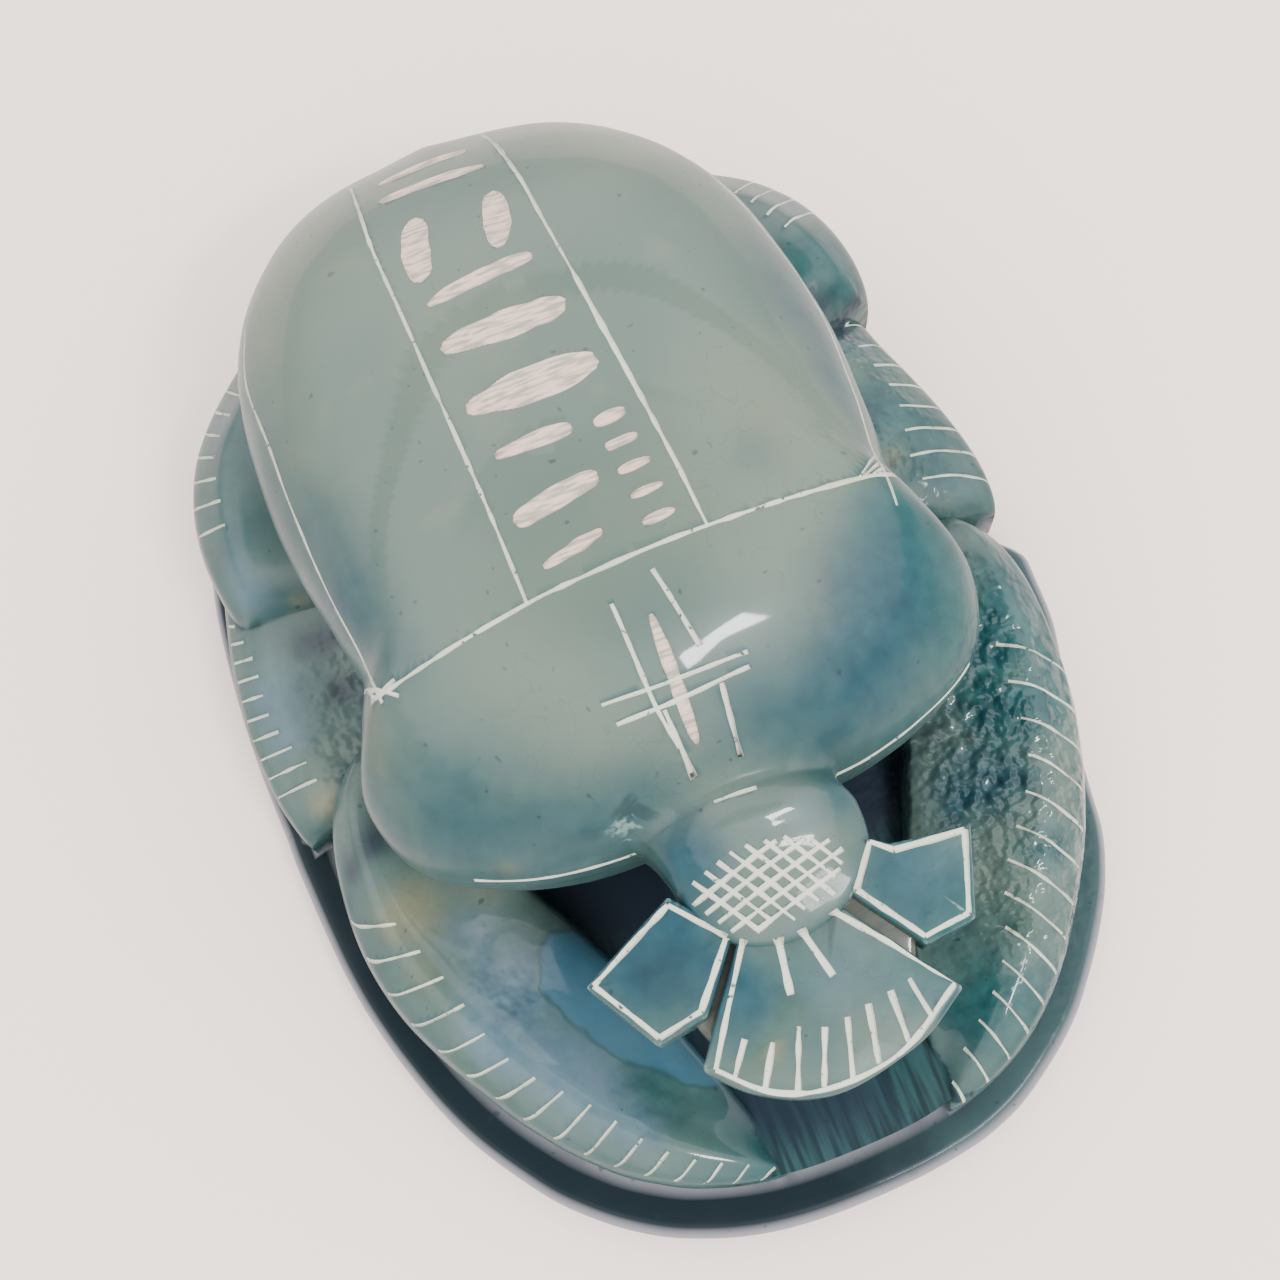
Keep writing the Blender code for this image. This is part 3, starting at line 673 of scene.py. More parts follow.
# %% A groove that follows a surface
LINE_BREADTH, LINE_DEPTH, LINE_RISE, LINE_FLOOR = 0.40 * MM, 0.12 * MM, 0.3 * MM, 0.55
WEAR_CELL, WEAR_SEED, WEAR_BREADTH, WEAR_DEPTH, WEAR_SHARED = 0.8 * MM, 50, 0.42, 0.60, 0.4


def groove(name, surface, path, breadth=LINE_BREADTH, depth=LINE_DEPTH, finish=LINE, nudge=0.02 * MM):
    """A cutter along a path on a surface. Its section stands above the surface by a rise and
    below it by a depth, square to the path and to the normal, which is the cross product of
    the surface's two slopes. Breadth and depth change a little along the way, as a point
    held by hand presses more and less."""
    u, v = np.asarray(path, float).T
    at = surface(u, v)
    slopes = np.cross(surface(u + nudge, v) - surface(u - nudge, v),
                      surface(u, v + nudge) - surface(u, v - nudge))
    normal = slopes * np.sign(slopes[:, 2:]) / np.linalg.norm(slopes, axis=1, keepdims=True)
    side = np.cross(normal, np.gradient(at, axis=0))
    side /= np.linalg.norm(side, axis=1, keepdims=True)
    wear = lattice(at, WEAR_CELL, WEAR_SEED)
    wide = np.broadcast_to(breadth, len(at))
    half = ((wide + WEAR_BREADTH * wear * np.minimum(wide, LINE_BREADTH)) / 2)[:, None]
    press = lattice(at, 3 * WEAR_CELL, WEAR_SEED + 1) + WEAR_SHARED * wear
    deep = (np.broadcast_to(depth, len(at)) * (1 + WEAR_DEPTH * press))[:, None]
    low = LINE_FLOOR * half
    section = [at - half * side + LINE_RISE * normal, at + half * side + LINE_RISE * normal,
               at + low * side - deep * normal, at - low * side - deep * normal]
    return shell(name, np.stack(section, axis=1), cuts, finish)


def walk(points, spacing=0.3 * MM):
    """Places at about even spacing along the smooth curve through points in plan."""
    points = np.asarray(points, float)
    way = np.hypot(*np.diff(points, axis=0).T).sum()
    return along(points, np.linspace(0, 1, max(int(way / spacing), 4)))


# %% Lines on the back
SHOULDER_LINE = [(-15.9, -3.2), (-14.7, -4.0), (-6.2, -3.4), (4.2, -3.0), (12.8, -2.8), (15.4, -2.7)]
COLUMN_LINES = [[(-6.2, -3.4), (-6.3, 4.5), (-6.6, 12.4), (-6.9, 21.0), (-7.0, 28.0)],
                [(4.2, -3.0), (3.8, 2.6), (3.2, 9.9), (2.5, 21.8), (1.9, 28.6)]]
WING_LINES = [[(-15.3, -4.4), (-16.2, 3.0), (-16.5, 8.0), (-16.6, 13.4), (-16.8, 18.0), (-15.9, 22.0)],
              [(14.6, -4.6), (14.9, -0.5), (15.6, 3.3), (16.2, 9.6), (15.4, 15.5), (13.8, 20.5)]]
# Short scratches where the carver joined the lines at the shoulders.
CORNER_LINES = [[(-16.3, -2.6), (-14.6, -4.3)], [(-15.9, -3.9), (-14.2, -3.7)],
                [(-16.0, -3.0), (-14.3, -4.6)], [(13.0, -2.8), (14.7, -1.4)],
                [(13.4, -2.7), (14.8, -1.9)], [(13.9, -2.7), (14.8, -2.3)]]

back_lines = {"shoulder": (SHOULDER_LINE, 0.38)}
for lines, word, breadth in ((COLUMN_LINES, "column", 0.32), (WING_LINES, "wing", 0.32),
                             (CORNER_LINES, "corner", 0.30)):
    back_lines.update({f"{word}_{k}": (line, breadth) for k, line in enumerate(lines)})
for name, (line, breadth) in back_lines.items():
    groove("line_" + name, back_top, walk(np.array(line) * MM), breadth * MM)
print("lines on the back:", len(back_lines))

# %% [markdown]
# ## Rows of strokes down the middle
# Between the two column lines the carver scraped rows of broad, shallow strokes with the side
# of the point, which leaves fine scratches in them. They are cut like the lines but wider,
# and each swells from its ends to its middle. They follow the rows of the real column, but
# they aren't letters and say nothing.

# %% Strokes of the centre column
# Up the column and across it as shares, length as a share of the width, slant in degrees,
# breadth in mm and how much of the breadth lies on one side.
STROKES = [
    (0.930, 0.00, 0.64, 4, 1.4, 0.7), (0.855, 0.00, 0.72, 0, 1.6, 0.7),
    (0.700, -0.21, 0.50, 78, 2.7, 0.7), (0.700, 0.21, 0.46, 78, 2.4, 0.3),
    (0.575, 0.00, 0.68, 6, 1.6, 0.7), (0.465, 0.00, 0.74, 0, 2.2, 0.7),
    (0.355, 0.00, 0.76, 0, 2.2, 0.4), (0.250, -0.12, 0.44, 0, 1.1, 0.5),
    (0.135, -0.14, 0.50, 8, 2.1, 0.6), (0.050, -0.17, 0.36, 10, 1.0, 0.5),
]
STROKES += [(0.235 - 0.048 * k, 0.30, 0.18, 4, 0.75, 0.5) for k in range(5)]
STROKE_DEPTH, STROKE_END, STROKE_STEPS = 0.10 * MM, 0.30, 26


def stroke(name, surface, start, end, breadth, lean=0.5, finish=STROKE):
    """A broad stroke from start to end in plan: its breadth follows the root of 1 - s^2, and
    its middle moves to one side by the lean, so that one side of it is straighter."""
    s = np.linspace(-1, 1, STROKE_STEPS)
    start, end = np.asarray(start), np.asarray(end)
    ahead = (end - start) / np.hypot(*(end - start))
    swell = STROKE_END + (1 - STROKE_END) * np.sqrt(1 - s**2)
    path = (start + end) / 2 + s[:, None] * (end - start) / 2
    path = path + ((lean - 0.5) * breadth * swell)[:, None] * (-ahead[1], ahead[0])
    return groove(name, surface, path, breadth * swell, STROKE_DEPTH, finish)


column = [np.array([side[0], side[-1]]) * MM for side in COLUMN_LINES]
for k, (up, across, length, slant, breadth, lean) in enumerate(STROKES):
    left, right = (side[0] + (side[1] - side[0]) * up for side in column)
    centre = (left + right) / 2 + across * (right - left)
    reach = length * (right - left)[0] / 2 * np.array([cos(radians(slant)), sin(radians(slant))])
    stroke(f"stroke_{k}", back_top, centre - reach, centre + reach, breadth * MM, lean)
print("strokes in the column:", len(STROKES))

# %% Crossed strokes between the shoulders
CROSS_LINES = [[(-2.1, -5.1), (-1.9, -10.1), (-1.4, -12.6)], [(0.6, -4.2), (1.4, -8.6)],
               [(-4.5, -9.5), (-0.4, -9.7), (3.7, -9.6)], [(-4.1, -10.6), (-0.4, -10.6), (3.5, -10.3)],
               [(-1.5, -10.8), (-1.2, -14.0)], [(1.8, -10.6), (1.5, -14.2)]]
CROSS_STROKE = ((-0.4, -6.3), (-0.5, -12.7), 1.1)
# The white lines along the front edge of the shoulders: bearings, and the share of the way out.
EDGE_LINES = [(236, 257, 0.95), (284, 309, 0.95)]

for k, line in enumerate(CROSS_LINES):
    groove(f"cross_{k}", back_top, walk(np.array(line) * MM), 0.38 * MM)
start, end, breadth = CROSS_STROKE
stroke("cross_stroke", back_top, np.array(start) * MM, np.array(end) * MM, breadth * MM)
for k, (first, last, place) in enumerate(EDGE_LINES):
    bearing = np.radians(np.linspace(first, last, 60))
    groove(f"edge_{k}", back_point, np.stack([bearing, 0 * bearing + place], axis=-1), 0.6 * MM,
           nudge=0.001)
print("lines between the shoulders:", len(CROSS_LINES) + len(EDGE_LINES))

# %% [markdown]
# ## Marks along the legs
# A real beetle's legs are edged with hairs, and the carver shows them as short marks across
# each leg's outer edge. They were made by eye in one quick row, so their slant and length
# drift from the first mark to the last. Each runs over the rounded edge, which is why the
# path is given in the leg's own two parameters.

# %% Marks along the legs
# Each leg: how many, share of the way of the first and the last, the slant from the outer to
# the inner end of the first and the last, and the inner place of the first and the last.
LEG_MARKS = {
    "front_left": (16, 0.205, 0.950, 0.055, 0.030, 3.10, 2.70),
    "front_right": (14, 0.262, 0.975, -0.035, -0.006, 3.35, 3.35),
    "middle_left": (11, 0.332, 0.862, 0.010, 0.014, 2.10, 3.05),
    "middle_right": (8, 0.260, 0.925, -0.025, -0.072, 2.30, 3.50),
    "hind_left": (7, 0.373, 0.785, 0.040, 0.005, 2.70, 2.75),
    "hind_right": (4, 0.500, 0.722, -0.005, -0.005, 3.00, 3.00),
}
MARK_FROM, MARK_STEPS, MARK_BREADTH, MARK_DEPTH = 1.75, 16, 0.27 * MM, 0.11 * MM
MARK_UNEVEN, MARK_RHYTHM = 0.12, 5.3
for name, (count, first, last, slant_a, slant_b, inner_a, inner_b) in LEG_MARKS.items():
    share = np.linspace(0, 1, MARK_STEPS)
    for k, way in enumerate(np.linspace(0, 1, count)):
        slant, inner = slant_a + (slant_b - slant_a) * way, inner_a + (inner_b - inner_a) * way
        uneven = MARK_UNEVEN * sin(MARK_RHYTHM * k + count)
        t = first + (last - first) * way + slant * share
        place = MARK_FROM + (inner + uneven - MARK_FROM) * share
        groove(f"mark_{name}_{k}", lambda u, v, leg_name=name: leg_point(leg_name, u, v),
               np.stack([t, place], axis=-1), MARK_BREADTH, MARK_DEPTH, nudge=0.002)
print("marks on the legs:", sum(row[0] for row in LEG_MARKS.values()))

# %% [markdown]
# ## Lines on the head
# Each plate is outlined just inside its edge, the fan has a row of ticks for its teeth, and
# the skull carries a lattice of two crossing sets of lines. The lattice fills a patch with
# straight sides, so each of its lines runs from where it enters the patch to where it leaves
# it, and a little over, as the carver's did.

# %% Lines on the head
PLATE_LINE, PLATE_LINE_IN = 0.49 * MM, 0.45 * MM

for word, corners in (("left", PLATE_LEFT), ("right", PLATE_RIGHT)):
    corners = np.array(corners) * MM
    middle = corners.mean(axis=0)
    inner = corners + (middle - corners) * PLATE_LINE_IN / np.hypot(*(middle - corners).T)[:, None]
    for k in range(len(inner)):
        ends = np.array([inner[k], inner[(k + 1) % len(inner)]])
        groove(f"plate_{word}_{k}", plate_top, walk(ends), PLATE_LINE)
FAN_LINES = [[(-1.8, -22.4), (-3.5, -24.8), (-5.8, -28.2)], [(2.8, -22.7), (4.5, -24.6), (7.9, -28.7)],
             [(-5.8, -28.2), (-3.4, -30.4), (-0.3, -31.3), (3.7, -31.0), (7.9, -28.7)]]
TICKS = [[(-3.8, -27.3), (-5.0, -28.9)], [(-2.5, -28.0), (-3.8, -30.1)], [(-0.9, -27.7), (-2.2, -30.8)],
         [(0.4, -28.2), (-0.8, -31.1)], [(1.7, -28.2), (0.8, -31.3)], [(3.0, -28.0), (2.4, -31.1)],
         [(4.4, -27.8), (4.3, -30.7)], [(5.6, -27.6), (6.0, -30.0)]]
FAN_STROKES = [[(-0.2, -22.9), (-0.7, -26.1)], [(1.0, -22.9), (1.8, -26.0)]]
fan_lines = (("line", FAN_LINES, 0.50), ("tick", TICKS, 0.46), ("stroke", FAN_STROKES, 0.6))
for word, lines, breadth in fan_lines:
    for k, line in enumerate(lines):
        groove(f"fan_{word}_{k}", plate_top, walk(np.array(line) * MM), breadth * MM)
print("lines on the fan:", sum(len(lines) for _, lines, _ in fan_lines))

# %% The lattice on the skull
LATTICE = np.array([(-4.0, -19.4), (-1.9, -22.5), (2.9, -22.3), (5.0, -20.4), (2.4, -18.9),
                    (-0.4, -18.5)]) * MM
# For each set of lines: its direction and how many there are.
LATTICE_WAYS = [(radians(14), 5), (radians(-57), 8)]
LATTICE_LINE, LATTICE_OVER, LATTICE_UNEVEN, LATTICE_RHYTHM = 0.39 * MM, 0.2 * MM, 0.25 * MM, 4.1


def across_patch(point, way):
    """Where a line through a point leaves the patch on both sides: of its crossings with the
    patch's sides, the nearest one each way."""
    starts, sides = LATTICE, np.roll(LATTICE, -1, axis=0) - LATTICE
    inward = np.stack([-sides[:, 1], sides[:, 0]], axis=-1)
    room, rate = np.sum(inward * (point - starts), axis=1), inward @ way
    crossing = -room / np.where(np.abs(rate) < 1e-9, 1e-9, rate)
    return crossing[rate > 0].max(), crossing[rate < 0].min()


for number, (angle, count) in enumerate(LATTICE_WAYS):
    way, square = np.array([cos(angle), sin(angle)]), np.array([-sin(angle), cos(angle)])
    spans = LATTICE @ square
    for k, offset in enumerate(np.linspace(spans.min(), spans.max(), count + 2)[1:-1]):
        middle = LATTICE.mean(axis=0)
        point = middle + square * (offset - middle @ square)
        low, high = across_patch(point, way)
        over = LATTICE_OVER + LATTICE_UNEVEN * sin(LATTICE_RHYTHM * k)
        ends = [point + way * (low - LATTICE_OVER), point + way * (high + over)]
        groove(f"lattice_{number}_{k}", cap_top, walk(ends), LATTICE_LINE)
groove("neck_dash", cap_top, walk(np.array([(-0.7, -15.7), (1.7, -15.8)]) * MM), 0.34 * MM)

# %% Cutting
boolean(stone, cuts, "DIFFERENCE")
mesh = stone.data
mesh.name = "scarab_stone"
print("cut stone:", len(mesh.polygons), "faces")

# %% [markdown]
# ## Where the stain went
# The stone itself was dyed, not painted: one soft green-grey all over, with clouds of blue,
# teal, green, ochre and lavender where the dye pooled, and a navy stain that is deepened with
# painted shade to nearly black in the hollow, under the fan and under the overhangs of the back.
# So each dye is an amount at every point of the mesh, laid down as a few soft round patches,
# and the shader turns the amounts into colour. The sea dye is also laid on sides that slope
# away, where it is partly painted shade. The bend of the surface gives two more amounts: dye
# is rubbed off edges that stand proud, and creases are darkened, partly by dye that gathered
# there and partly as painted shade.

# %% Amounts carried by the mesh
def read(owner, word, width):
    """Numbers of a mesh, in rows of a width."""
    values = np.empty(len(owner) * width, np.float32)
    owner.foreach_get(word, values)
    return values.reshape(-1, width)


def carry(name, values, domain="POINT"):
    """Store one number for each point or face under a name that the shader reads."""
    layer = mesh.attributes.new(name, "FLOAT", domain)
    layer.data.foreach_set("value", np.ascontiguousarray(values, np.float32))


numbers = np.empty(len(mesh.polygons), np.int32)
mesh.polygons.foreach_get("material_index", numbers)
carry("line", numbers == LINE, "FACE")
carry("stroke", numbers == STROKE, "FACE")
points = read(mesh.vertices, "co", 3)
normals = read(mesh.vertex_normals, "vector", 3)
print("points:", len(points), "and faces of bare stone:", int(np.sum(numbers != GLAZED)))

# %% Bends of the surface
BEND_ROUNDS = 8


def bends(left_out):
    """How far the surface falls away from each point's tangent plane to its neighbours, over
    the square of their distance, then averaged with the neighbours a few times. It is
    positive on an edge and negative in a crease, and the cuts are left out of it."""
    pairs = np.empty(2 * len(mesh.edges), np.int32)
    mesh.edges.foreach_get("vertices", pairs)
    a, b = pairs.reshape(-1, 2).T
    step = points[b] - points[a]
    fall_a, fall_b = -np.sum(normals[a] * step, axis=1), np.sum(normals[b] * step, axis=1)
    size = np.sum(step**2, axis=1)

    def gather(to_a, to_b):
        return np.bincount(a, to_a, len(points)) + np.bincount(b, to_b, len(points))

    bend = np.where(left_out, 0, gather(fall_a, fall_b) / gather(size, size))
    count = gather(1 + 0 * size, 1 + 0 * size)
    for _ in range(BEND_ROUNDS):
        bend = (bend + gather(bend[b], bend[a]) / count) / 2
    return bend


corners = np.empty(len(mesh.loops), np.int32)
mesh.loops.foreach_get("vertex_index", corners)
totals = np.empty(len(mesh.polygons), np.int32)
mesh.polygons.foreach_get("loop_total", totals)
cut_points = np.zeros(len(points), bool)
cut_points[corners[np.repeat(numbers != GLAZED, totals)]] = True
bend = bends(cut_points)
carry("worn", ease(bend, 300, 1200))
# Creases are painted darker, partly for dye that gathered there and partly as painted shade.
carry("crease", ease(-bend, 120, 800))
print("bend at 1, 25, 50, 75 and 99 %, 1/m:", np.round(np.percentile(bend, (1, 25, 50, 75, 99))))

# %% Patches of dye
# For each dye: x, y, z and radius in mm, and the amount at the middle.
PATCHES = {
    "blue": [
        (-3, -25, 18, 2.2, 0.8), (-4.5, -27, 17.5, 2, 0.5), (8.5, -11.5, 20, 4, 0.8),
        (4, -12.5, 22, 3, 0.35), (11, -9, 22.5, 4, 0.5), (-9, -14.5, 18, 3.5, 0.35),
        (-13.5, -9, 21.5, 3.5, 0.3),
        (-15, 2, 23.5, 4, 0.6), (-15, 7, 24, 3, 0.35), (-14, -3, 25, 2.6, 0.4),
        (14.5, 9, 23.5, 3.2, 0.55), (15, 3.5, 23.5, 2.6, 0.6), (14, 13, 23.5, 3, 0.35),
        (8, 0, 27, 2.2, 0.35), (12, -8.5, 23.5, 4.2, 0.55), (2.5, -11.5, 24, 3.5, 0.3),
        (-4, -13.5, 21.5, 3.4, 0.35), (-8.5, -13, 21, 2.8, 0.3), (-13.5, -12, 19.5, 3, 0.4),
        (-3, -18, 20.5, 2.5, 0.9), (5.5, -17.5, 20, 1.7, 0.6), (-7.5, -21.5, 19.5, 3.2, 1),
        (-5.5, -21, 19.5, 2, 1),
        (7.5, -23, 19, 3, 0.75), (-3.5, -23, 18, 1.7, 0.65), (7, -29.5, 17, 1.5, 0.6),
        (-23, -10.5, 8.5, 1.6, 0.85), (-11.5, -19, 7.5, 2.4, 0.65), (-11, -22, 7.5, 2.2, 0.5),
        (-16.5, -21, 9.5, 2.6, 0.4), (-20.5, 20.5, 12, 2, 0.35), (-22, 13.5, 12.5, 2, 0.35),
        (-21.5, 3.5, 9, 2.6, 0.35), (17, -18, 9, 3, 0.55), (14, -18.5, 8, 2.5, 0.5),
        (20.5, 13, 8, 1.6, 0.2), (-0.5, -26.5, 18, 1, 0.2)],
    "teal": [
        (14.5, -9, 19, 4, 0.75), (16, -6, 19, 4, 0.85), (13, -4.5, 23, 3.5, 0.5), (10, -13, 18, 3, 0.5),
        (8, -23, 18, 2.6, 0.45), (-8, -24, 18, 2, 0.45), (6.5, -28.5, 17, 2, 0.4), (-14, -12, 18, 4, 0.35),
        (15.5, -7.5, 22, 3.6, 0.95), (17, -10.5, 18.5, 3, 0.8), (14.5, -5.5, 23.5, 2.4, 0.5),
        (21.5, -9.5, 11, 5, 0.85), (22.5, -14.5, 9.5, 4, 0.55), (18.5, -14, 10, 3.5, 0.6),
        (9.5, -25, 18.5, 4.5, 0.85), (10.5, -30, 8, 4.5, 0.85), (17, -23, 9.5, 3, 0.5),
        (-7.5, -30, 7.5, 4.5, 0.4), (-4.5, -33.5, 6, 4, 0.6), (-9.5, -27, 7.5, 2.5, 0.45),
        (21.5, 12, 8, 2.6, 0.6), (20, 6.5, 9, 2.4, 0.75), (22, 1.5, 8, 2.4, 0.45),
        (18.5, 17, 12.5, 2.8, 0.8), (21.5, 18.5, 11.5, 2.4, 0.7), (21.5, 15.5, 10.5, 2, 0.6),
        (12.5, 20, 23, 4, 0.18), (-17, -30, 3, 2, 0.3), (-9, -15, 4.5, 1.6, 0.3),
        (-2, -32, 5.5, 3, 0.8), (3.5, -33.5, 5.5, 3.5, 0.6), (-2.5, -25.5, 18, 2, 0.5),
        (5, -28, 17.5, 2.2, 0.45), (21.5, 6, 9, 3.5, 0.5), (-21, 17, 12, 3, 0.3)],
    "green": [
        (-23, -0.5, 8.5, 2.5, 0.35), (-24.5, -13, 3, 2, 0.45), (-19.5, -17, 10.5, 2.2, 0.45),
        (-19, -21.5, 9, 1.8, 0.5), (-18, -24, 8.5, 1.8, 0.35), (20.5, 10.5, 8.5, 1.2, 0.7),
        (-1, -27, 18, 1.6, 0.55), (2.5, -29.5, 17.5, 1.8, 0.55), (-3.5, -28.5, 17.5, 1.4, 0.55),
        (9, -25.5, 18, 1.2, 0.5), (14.5, -26.5, 9, 2.2, 0.45), (20.5, -19.5, 9.5, 1.8, 0.35),
        (-5, -16.5, 19, 1.3, 0.45), (5.5, -16.5, 20.5, 1.2, 0.4), (-11.5, -16.5, 7.5, 1.2, 0.35),
        (-23, 19, 11, 1.4, 0.5), (-24, 13.5, 10.5, 1.4, 0.4), (-2.5, -5, 27, 4, 0.1),
        (-11.5, -11.5, 22, 2.6, 0.2), (2, -35, 3, 2.5, 0.35)],
    "ochre": [
        (-20.5, -13, 11, 1.7, 0.4), (-19, -12, 10.5, 1.8, 0.35), (-22.5, -3.5, 7.5, 1.2, 0.8),
        (-16.5, -4.5, 22.5, 1.6, 0.3), (-17, -7, 21.5, 1.4, 0.25), (19.5, 4, 9, 1.2, 0.6),
        (9.5, 1, 27, 2.8, 0.3), (15, 13.5, 22.5, 1.4, 0.15), (9, -8.5, 24.5, 2.2, 0.35),
        (-20, -16.5, 10.5, 1.4, 0.3), (-3.5, -20, 20, 0.8, 0.3), (-2.5, -28.5, 17.5, 0.7, 0.6),
        (18.5, -14, 10, 1, 0.3), (-15, -13, 9, 1.6, 0.35), (-19.5, 9, 10, 1, 0.4),
        (-18.5, -13.5, 10, 2, 0.35), (-2, 8, 28.5, 3.5, 0.16), (-12.5, -14, 17.5, 1.2, 0.4),
        (22, 17, 10.5, 1.4, 0.35)],
    "lavender": [
        (-15, -19, 9, 3, 0.8), (-17, -21.5, 10, 2.4, 0.8), (-14, -24, 9, 2.4, 0.75),
        (-12.5, -26, 8.5, 2.4, 0.75), (-11, -29, 8.5, 2, 0.6), (-16.5, -15, 9.5, 2.4, 0.45),
        (3.5, -18, 21.5, 1.5, 0.3), (1, -18, 22, 1.2, 0.3), (4, -19, 21.5, 1.4, 0.2),
        (20.5, 13, 8, 1.6, 0.6), (-20.5, 22.5, 11, 2.2, 0.3), (-22.5, 12, 12, 2.2, 0.3),
        (-23.5, 4.5, 8.5, 2.6, 0.55), (-23.5, 1, 8.5, 2, 0.5), (-22.5, 10, 10.5, 2, 0.5),
        (1, -26.5, 18, 2, 0.25), (3, -25.5, 18.5, 1.6, 0.2), (23, 0.5, 7.5, 1.6, 0.3),
        (20, 22.5, 11, 2, 0.4)],
    # Navy is partly a dark stain and partly painted shade: in the hollow, under the fan and where the legs
    # pass under the back.
    "navy_and_shade": [
        (-8.5, -14.5, 4.5, 4, 1), (-6, -15, 4.5, 3, 1), (-10.5, -16, 4.5, 2.2, 0.5),
        (9, -15.5, 4.5, 3, 1), (-19, 2.5, 9.5, 1.5, 0.7),
        (-18.5, 6, 9.5, 1.5, 0.7), (-20, -8, 11.5, 1.6, 0.75), (-18, -10.5, 17, 2, 0.5),
        (-22, -9, 10.5, 1.2, 0.6), (-3, -31, 5.5, 3, 0.55), (1, -32.5, 5.5, 3, 0.6),
        (-6, -26, 4.5, 2.5, 0.75), (-4.5, -30.5, 5.5, 2, 0.5),
        (19, 15, 11, 1.6, 0.6), (22, 15, 9, 1.2, 0.6), (20.5, 14, 8.5, 1.2, 0.8),
        (-20.5, 6.5, 9.5, 1.4, 0.5), (-7, -22.5, 19, 3, 0.4), (12.5, -14, 5, 2, 0.7),
        (14.5, -14, 8.5, 1.5, 0.5)],
}
SEA_PATCHES = [(-13, -10, 21, 6, 0.8), (11, -12, 19, 5, 0.9), (-16, 0, 22, 4, 0.5),
               (-6, -14.5, 18, 6, 0.45), (13, -8, 20, 6, 0.9), (6, -13, 22, 5, 0.6),
               (-7, -23, 18, 4, 0.9), (8, -23, 18, 4, 0.9), (1, -27, 18, 5, 0.95), (0, 33, 20, 7, 0.45),
               (-21, 18, 12, 6, 0.7), (22, 4, 9, 6, 0.7), (0, -8, 27, 6, 0.35), (2, 27, 26, 8, 0.35),
               (-17, 8, 21, 4, 0.5), (-16, 12, 20, 4, 0.3), (15, 6, 22, 4, 0.45), (1, -18, 21, 4, 0.35)]
TIDE_PATCHES = [(-11.5, -19.5, 7, 3.2, 0.9), (-9.5, -23, 6.5, 3.2, 0.9), (-6.5, -26.5, 6, 2.6, 0.8)]
ROUGH_PATCHES = [(17, -14, 9, 6, 1.0), (18, -20, 8, 6, 1.0), (17, -8, 10, 5, 0.9), (14, -27, 7, 5, 0.6),
                 (-17, 4, 8, 4, 0.6), (-20, -2, 7, 4, 0.6), (17, 12, 8, 5, 0.7), (19, 4, 7, 5, 0.6),
                 (-16, -19, 9, 3, 0.35), (-10, -28, 7, 4, 0.2)]


def patch_amount(rows):
    """What all patches of a dye leave together: 1 less the product of 1 - a exp(-(d/r)^2)."""
    left = np.ones(len(points))
    for x, y, z, radius, amount in rows:
        away = np.sum((points / MM - (x, y, z)) ** 2, axis=1) / radius**2
        left *= 1 - amount * np.exp(-away)
    return 1 - left


height, facing_up = points[:, 2], normals[:, 2]
SEA_ON_LEGS, LEG_TOPS = 0.55, (13 * MM, 16 * MM)
# On sides that slope away the sea dye also paints shade.
SEA_AND_SHADE_ON_SIDES, SIDE_SLOPE = 0.80, (0.14, 0.60)
legs_only, sides = 1 - ease(height, *LEG_TOPS), ease(1 - facing_up, *SIDE_SLOPE)
bare_of_sea = (1 - SEA_ON_LEGS * legs_only) * (1 - SEA_AND_SHADE_ON_SIDES * sides)
carry("sea_and_side_shade", 1 - bare_of_sea * (1 - patch_amount(SEA_PATCHES)))
for dye, rows in PATCHES.items():
    laid = patch_amount(rows)
    carry(dye, laid)
    print(dye, "on", round(100 * float(np.mean(laid > 0.3))), "% of the points")

# %% [markdown]
# ## Places with a finish of their own
# The filed floor, the ledge and the rim lie apart from the polished forms and took the
# colour in their own way, a tide of thin blue dried on the left front leg, and silt filled
# the grooves between the plates. The ledge is also given painted light and shade: lighter
# towards the right and darker towards the left. The polish reached what faces up, but not
# the plates and the scored front of the skull. Each place is found by its height, its slope
# or a patch.

# %% Places with a finish of their own
NEAR, NEAR_SLOPE, FLOOR_RIM, SILT_BEFORE = 0.25 * MM, 0.35 * MM, 1.08, -19 * MM
POLISHED, FLAT, TURNED, LIT_FROM_TO = (0.60, 0.95), (0.3, 0.9), (0.70, 0.97), (-4 * MM, 14 * MM)
MATT_PATCHES = [(3.0, -21.6, 19.0, 2.6, 1)]

below_slope = plate_top(*points[:, :2].T)[:, 2] - height
reached = (np.abs(below_slope) >= NEAR_SLOPE) * (1 - patch_amount(MATT_PATCHES))
carry("polish", ease(facing_up, *POLISHED) * reached)
carry("groove", (np.abs(below_slope - HEAD_GROOVE) < NEAR_SLOPE) & (points[:, 1] < SILT_BEFORE))
inside = np.hypot(points[:, 0] / (HALF_WIDTH - LEDGE), points[:, 1] / (HALF_LENGTH - LEDGE))
on_floor = np.abs(height - floor_height(points[:, 0], points[:, 1])) < NEAR
carry("floor", on_floor & (inside < FLOOR_RIM))
low = height < BASE_THICKNESS + NEAR
carry("ledge", low * ease(facing_up, *FLAT))
# Painted light on the ledge: lighter towards the right, and darker, as painted shade, towards the left.
carry("lit", ease(points[:, 0], *LIT_FROM_TO))
carry("rim", low * (1 - ease(facing_up, *TURNED)))
carry("rough", patch_amount(ROUGH_PATCHES))
carry("tide", patch_amount(TIDE_PATCHES))
print("points on the floor:", int(on_floor.sum()), "and on ledge or rim:", int(low.sum()))

# %% [markdown]
# ## The finish
# Over the colour lies a thin hard shine, so the surface has a clear coat over a softer
# ground. The shader reads the amounts, breaks each of them up with clouds of noise, and
# mixes the dyes one over the other. Its sums are written as plain expressions: a small class
# stands for a node's output, and each operator on it adds a Math node.

